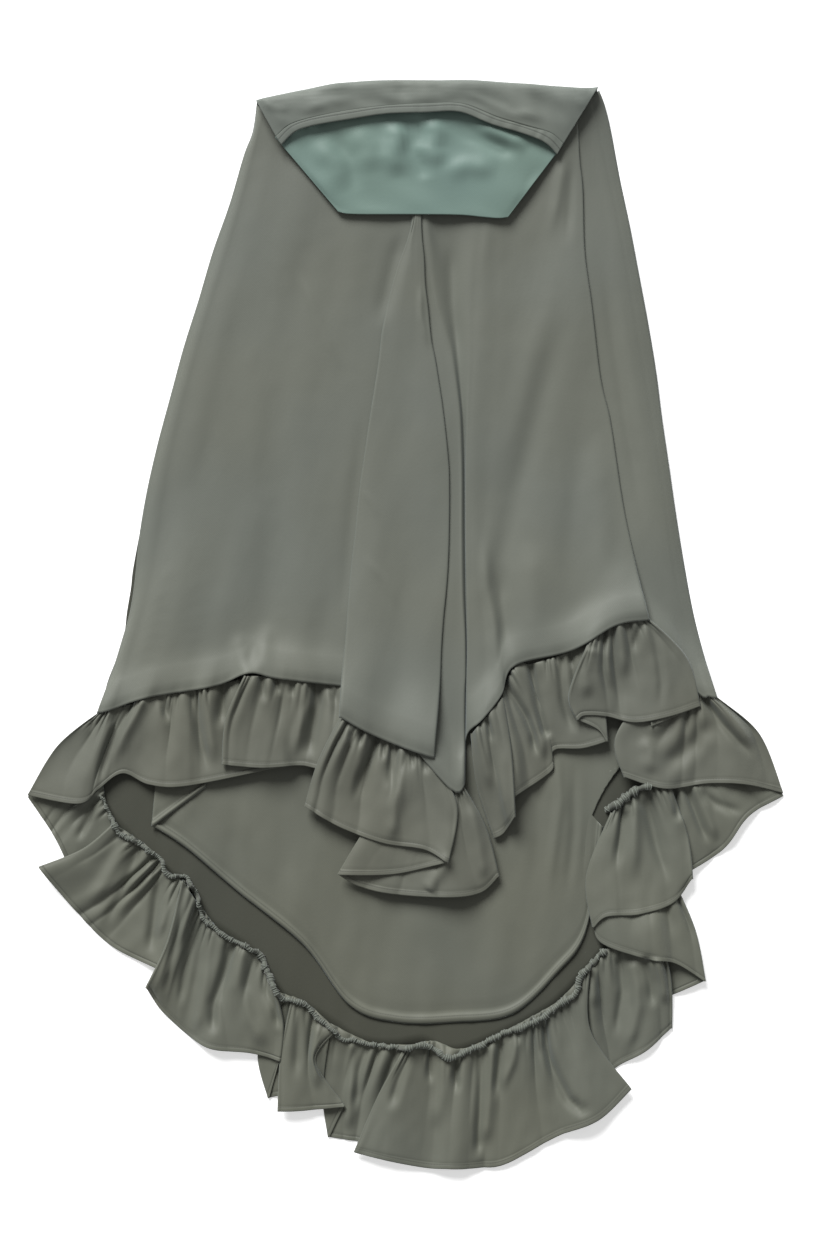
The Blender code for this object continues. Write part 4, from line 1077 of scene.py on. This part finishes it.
def hood_sheet(name, grid, wall, look):
    wide, tall = grid.shape[:2]
    mesh = bpy.data.meshes.new(name + "_cloth")
    index = np.arange(wide * tall).reshape(wide, tall)
    quads = np.stack([index[:-1, :-1], index[:-1, 1:], index[1:, 1:], index[1:, :-1]], -1).reshape(-1, 4)
    mesh.from_pydata(grid.reshape(-1, 3).tolist(), [], quads.tolist())
    mesh.shade_smooth()
    u = np.concatenate([[0], np.cumsum(np.linalg.norm(np.diff(grid[:, -1], axis=0), axis=1))])
    steps = np.linalg.norm(np.diff(grid, axis=1), axis=2)
    v = np.concatenate([np.cumsum(steps[:, ::-1], axis=1)[:, ::-1], np.zeros((wide, 1))], 1)
    uv = np.stack([np.broadcast_to(u[:, None], (wide, tall)), v], -1).reshape(-1, 2)
    layer = mesh.uv_layers.new(name="cut")
    loops = np.zeros(len(mesh.loops), np.int32)
    mesh.loops.foreach_get("vertex_index", loops)
    layer.data.foreach_set("uv", uv[loops].astype(np.float32).ravel())
    mesh.materials.append(look)
    made = bpy.data.objects.new(name + "_cloth", mesh)
    bpy.context.scene.collection.objects.link(made)
    shell = made.modifiers.new("cloth", "SOLIDIFY")
    shell.thickness = wall
    shell.offset = 0.0
    shell.use_even_offset = False
    return made


def plan_of(points):
    return np.stack([points[..., 0] / U + PLAN_X, PLAN_Y - points[..., 1] / U], -1)


LINING_Z, LINING_TURN, CAD_CLOTH = 0.0174, 0.0011, 0.0010
HOOD_A, HOOD_B, HOOD_C = field(70, 38, 21, 0.5), field(34, 16, 22, 0.9), field(46, 90, 25, 2.2)

crown = []
for _, hx, hy, tx, ty, over in CROWN:
    near = LINING_Z + CAD_CLOTH + over
    foot, top = np.array([hx, hy], float), np.array([tx, ty], float)
    crown.append(
        np.concatenate(
            [
                world([foot], near),
                world([foot * 0.5 + top * 0.5], near + 0.0006),
                world([foot * 0.15 + top * 0.85], near - 0.0002),
                world([top + (0, -0.1)], near * 0.82),
                world([top + (0, -0.4)], near * 0.50),
                world([top + (0, 1.0)], near * 0.22),
                world([top + (0, 5.0)], 0.0021),
            ]
        )
    )
grid = loft(crown, 10, 8)[:, ::-1]
at = plan_of(grid)
lift = 0.0016 * sample_field(HOOD_A, at) + 0.0004 * sample_field(HOOD_B, at)
for points, height, width, taper in HOOD_CREASES:
    d, along = distance_to(points, at)
    lift += height * np.exp(-((d / width) ** 2)) * smooth(along / taper) * smooth((1 - along) / taper)
v = np.linspace(0, 1, grid.shape[1])[None, :]
u = np.linspace(0, 1, grid.shape[0])[:, None]
grid[..., 2] += lift * smooth((v - 0.35) / 0.2) * smooth((1 - v) / 0.12) * smooth(u / 0.08) * smooth((1 - u) / 0.08)
SHEETS["hood_crown"] = hood_sheet("hood_crown", grid, CLOTH, HOOD_FACE)

hem = []
for (_, ux, uy, lx, ly), (_, hx, hy, tx, ty, over) in zip(HEM, CROWN):
    z = LINING_Z + CAD_CLOTH + over + 0.0004
    out_x, out_y = (ux - lx) * 0.25, (uy - ly) * 0.25
    hem.append(
        np.concatenate(
            [
                world([(ux + out_x, uy + out_y)], z + 0.0001),
                world([(ux, uy)], z + 0.0003),
                world([((ux + lx) / 2, (uy + ly) / 2)], z + 0.0005),
                world([(lx, ly)], z + 0.0003),
                world([(lx + out_x * 0.1, ly + out_y * 0.1)], z - 0.0003),
            ]
        )
    )
grid = loft(hem, 12, 3)
at = plan_of(grid)
s = np.concatenate([[0], np.cumsum(np.linalg.norm(np.diff(at[:, 3], axis=0), axis=1))])
grid[..., 2] += (0.00035 * noise_1d(s, 9, 61) + 0.0007 * noise_1d(s, 40, 62))[:, None] * smooth(np.minimum(s, s[-1] - s) / 20)[:, None]
SHEETS["face_hem"] = hood_sheet("face_hem", grid, 0.0011, HOOD_HEM)

lining = []
for _, tx, ty, fx, fy, sink in LINING:
    top, foot = np.array([tx, ty], float), np.array([fx, fy], float)
    down = (foot - top) / np.linalg.norm(foot - top)
    turn = LINING_TURN / U
    column = [world([top + (foot - down * turn - top) * t], LINING_Z - sink) for t in np.linspace(0, 1, 6)]
    for k in range(1, 4):
        angle = math.pi * k / 4
        column.append(world([foot - down * turn * (1 - math.sin(angle))], LINING_Z - sink - LINING_TURN * (1 - math.cos(angle))))
    column += [world([foot - down * (turn + back)], LINING_Z - sink - 2 * LINING_TURN) for back in (0, 14, 30)]
    lining.append(np.concatenate(column))
grid = loft(lining, 12, 9)
at = plan_of(grid)
lift = 0.0007 * sample_field(HOOD_C, at)
for points, height, width, taper in LINING_CREASES:
    d, along = distance_to(points, at)
    lift += height * np.exp(-((d / width) ** 2)) * smooth(along / taper) * smooth((1 - along) / taper)
n = grid.shape[1]
v = np.linspace(0, 1, n)[None, :]
u = np.linspace(0, 1, grid.shape[0])[:, None]
face = smooth((5 / 11 - v) / 0.05 + 0.15)
lift = np.clip(lift * 1.35, -0.0022, 0.0045)
grid[..., 2] += lift * face * smooth(u / 0.1) * smooth((1 - u) / 0.1)
SHEETS["hood_lining"] = hood_sheet("hood_lining", grid, 0.0008, LINING_FACE)

# ---- how the pieces stand for the part's ----
for name, piece in SHEETS.items():
    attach(piece, "root")
    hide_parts(name)
for name, cord, loops in (("back_seam", back_cord, back_thread), ("side_seam", side_cord, side_thread)):
    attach(cord, "root")
    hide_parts(name)
    if loops is not None:
        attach(loops, "root")

# ---- floor, light and camera ----
bpy.ops.mesh.primitive_plane_add(size=8.0, location=(0, 0, -0.0002))
floor = bpy.context.object
floor.name = "floor"
paper = bpy.data.materials.new("white_floor")
paper.use_nodes = True
shader = paper.node_tree.nodes["Principled BSDF"]
shader.inputs["Base Color"].default_value = (0.90, 0.90, 0.90, 1.0)
shader.inputs["Roughness"].default_value = 0.9
shader.inputs["Specular IOR Level"].default_value = 0.1
shader.inputs["Emission Color"].default_value = (1.0, 1.0, 1.0, 1.0)
shader.inputs["Emission Strength"].default_value = 0.45
floor.data.materials.append(paper)


sun = bpy.data.lights.new("window", "SUN")
sun.energy = 5.0
sun.angle = math.radians(30)
lamp = bpy.data.objects.new("window", sun)
bpy.context.scene.collection.objects.link(lamp)
lamp.rotation_euler = (math.radians(-50), math.radians(-30), 0)
world_data = bpy.data.worlds.new("studio")
bpy.context.scene.world = world_data
world_data.use_nodes = True
world_data.node_tree.nodes["Background"].inputs["Color"].default_value = (1, 1, 1, 1)
world_data.node_tree.nodes["Background"].inputs["Strength"].default_value = 0.30

eye = bpy.data.cameras.new("above")
eye.lens = 85.0
eye.sensor_width = 36.0
eye.sensor_fit = "AUTO"
camera = bpy.data.objects.new("above", eye)
bpy.context.scene.collection.objects.link(camera)
camera.location = ((416 - PLAN_X) * U, (PLAN_Y - 624) * U, 1248 * U * 85.0 / 36.0)
camera.rotation_euler = (0, 0, 0)
bpy.context.scene.camera = camera
bpy.context.scene.view_settings.view_transform = "Standard"
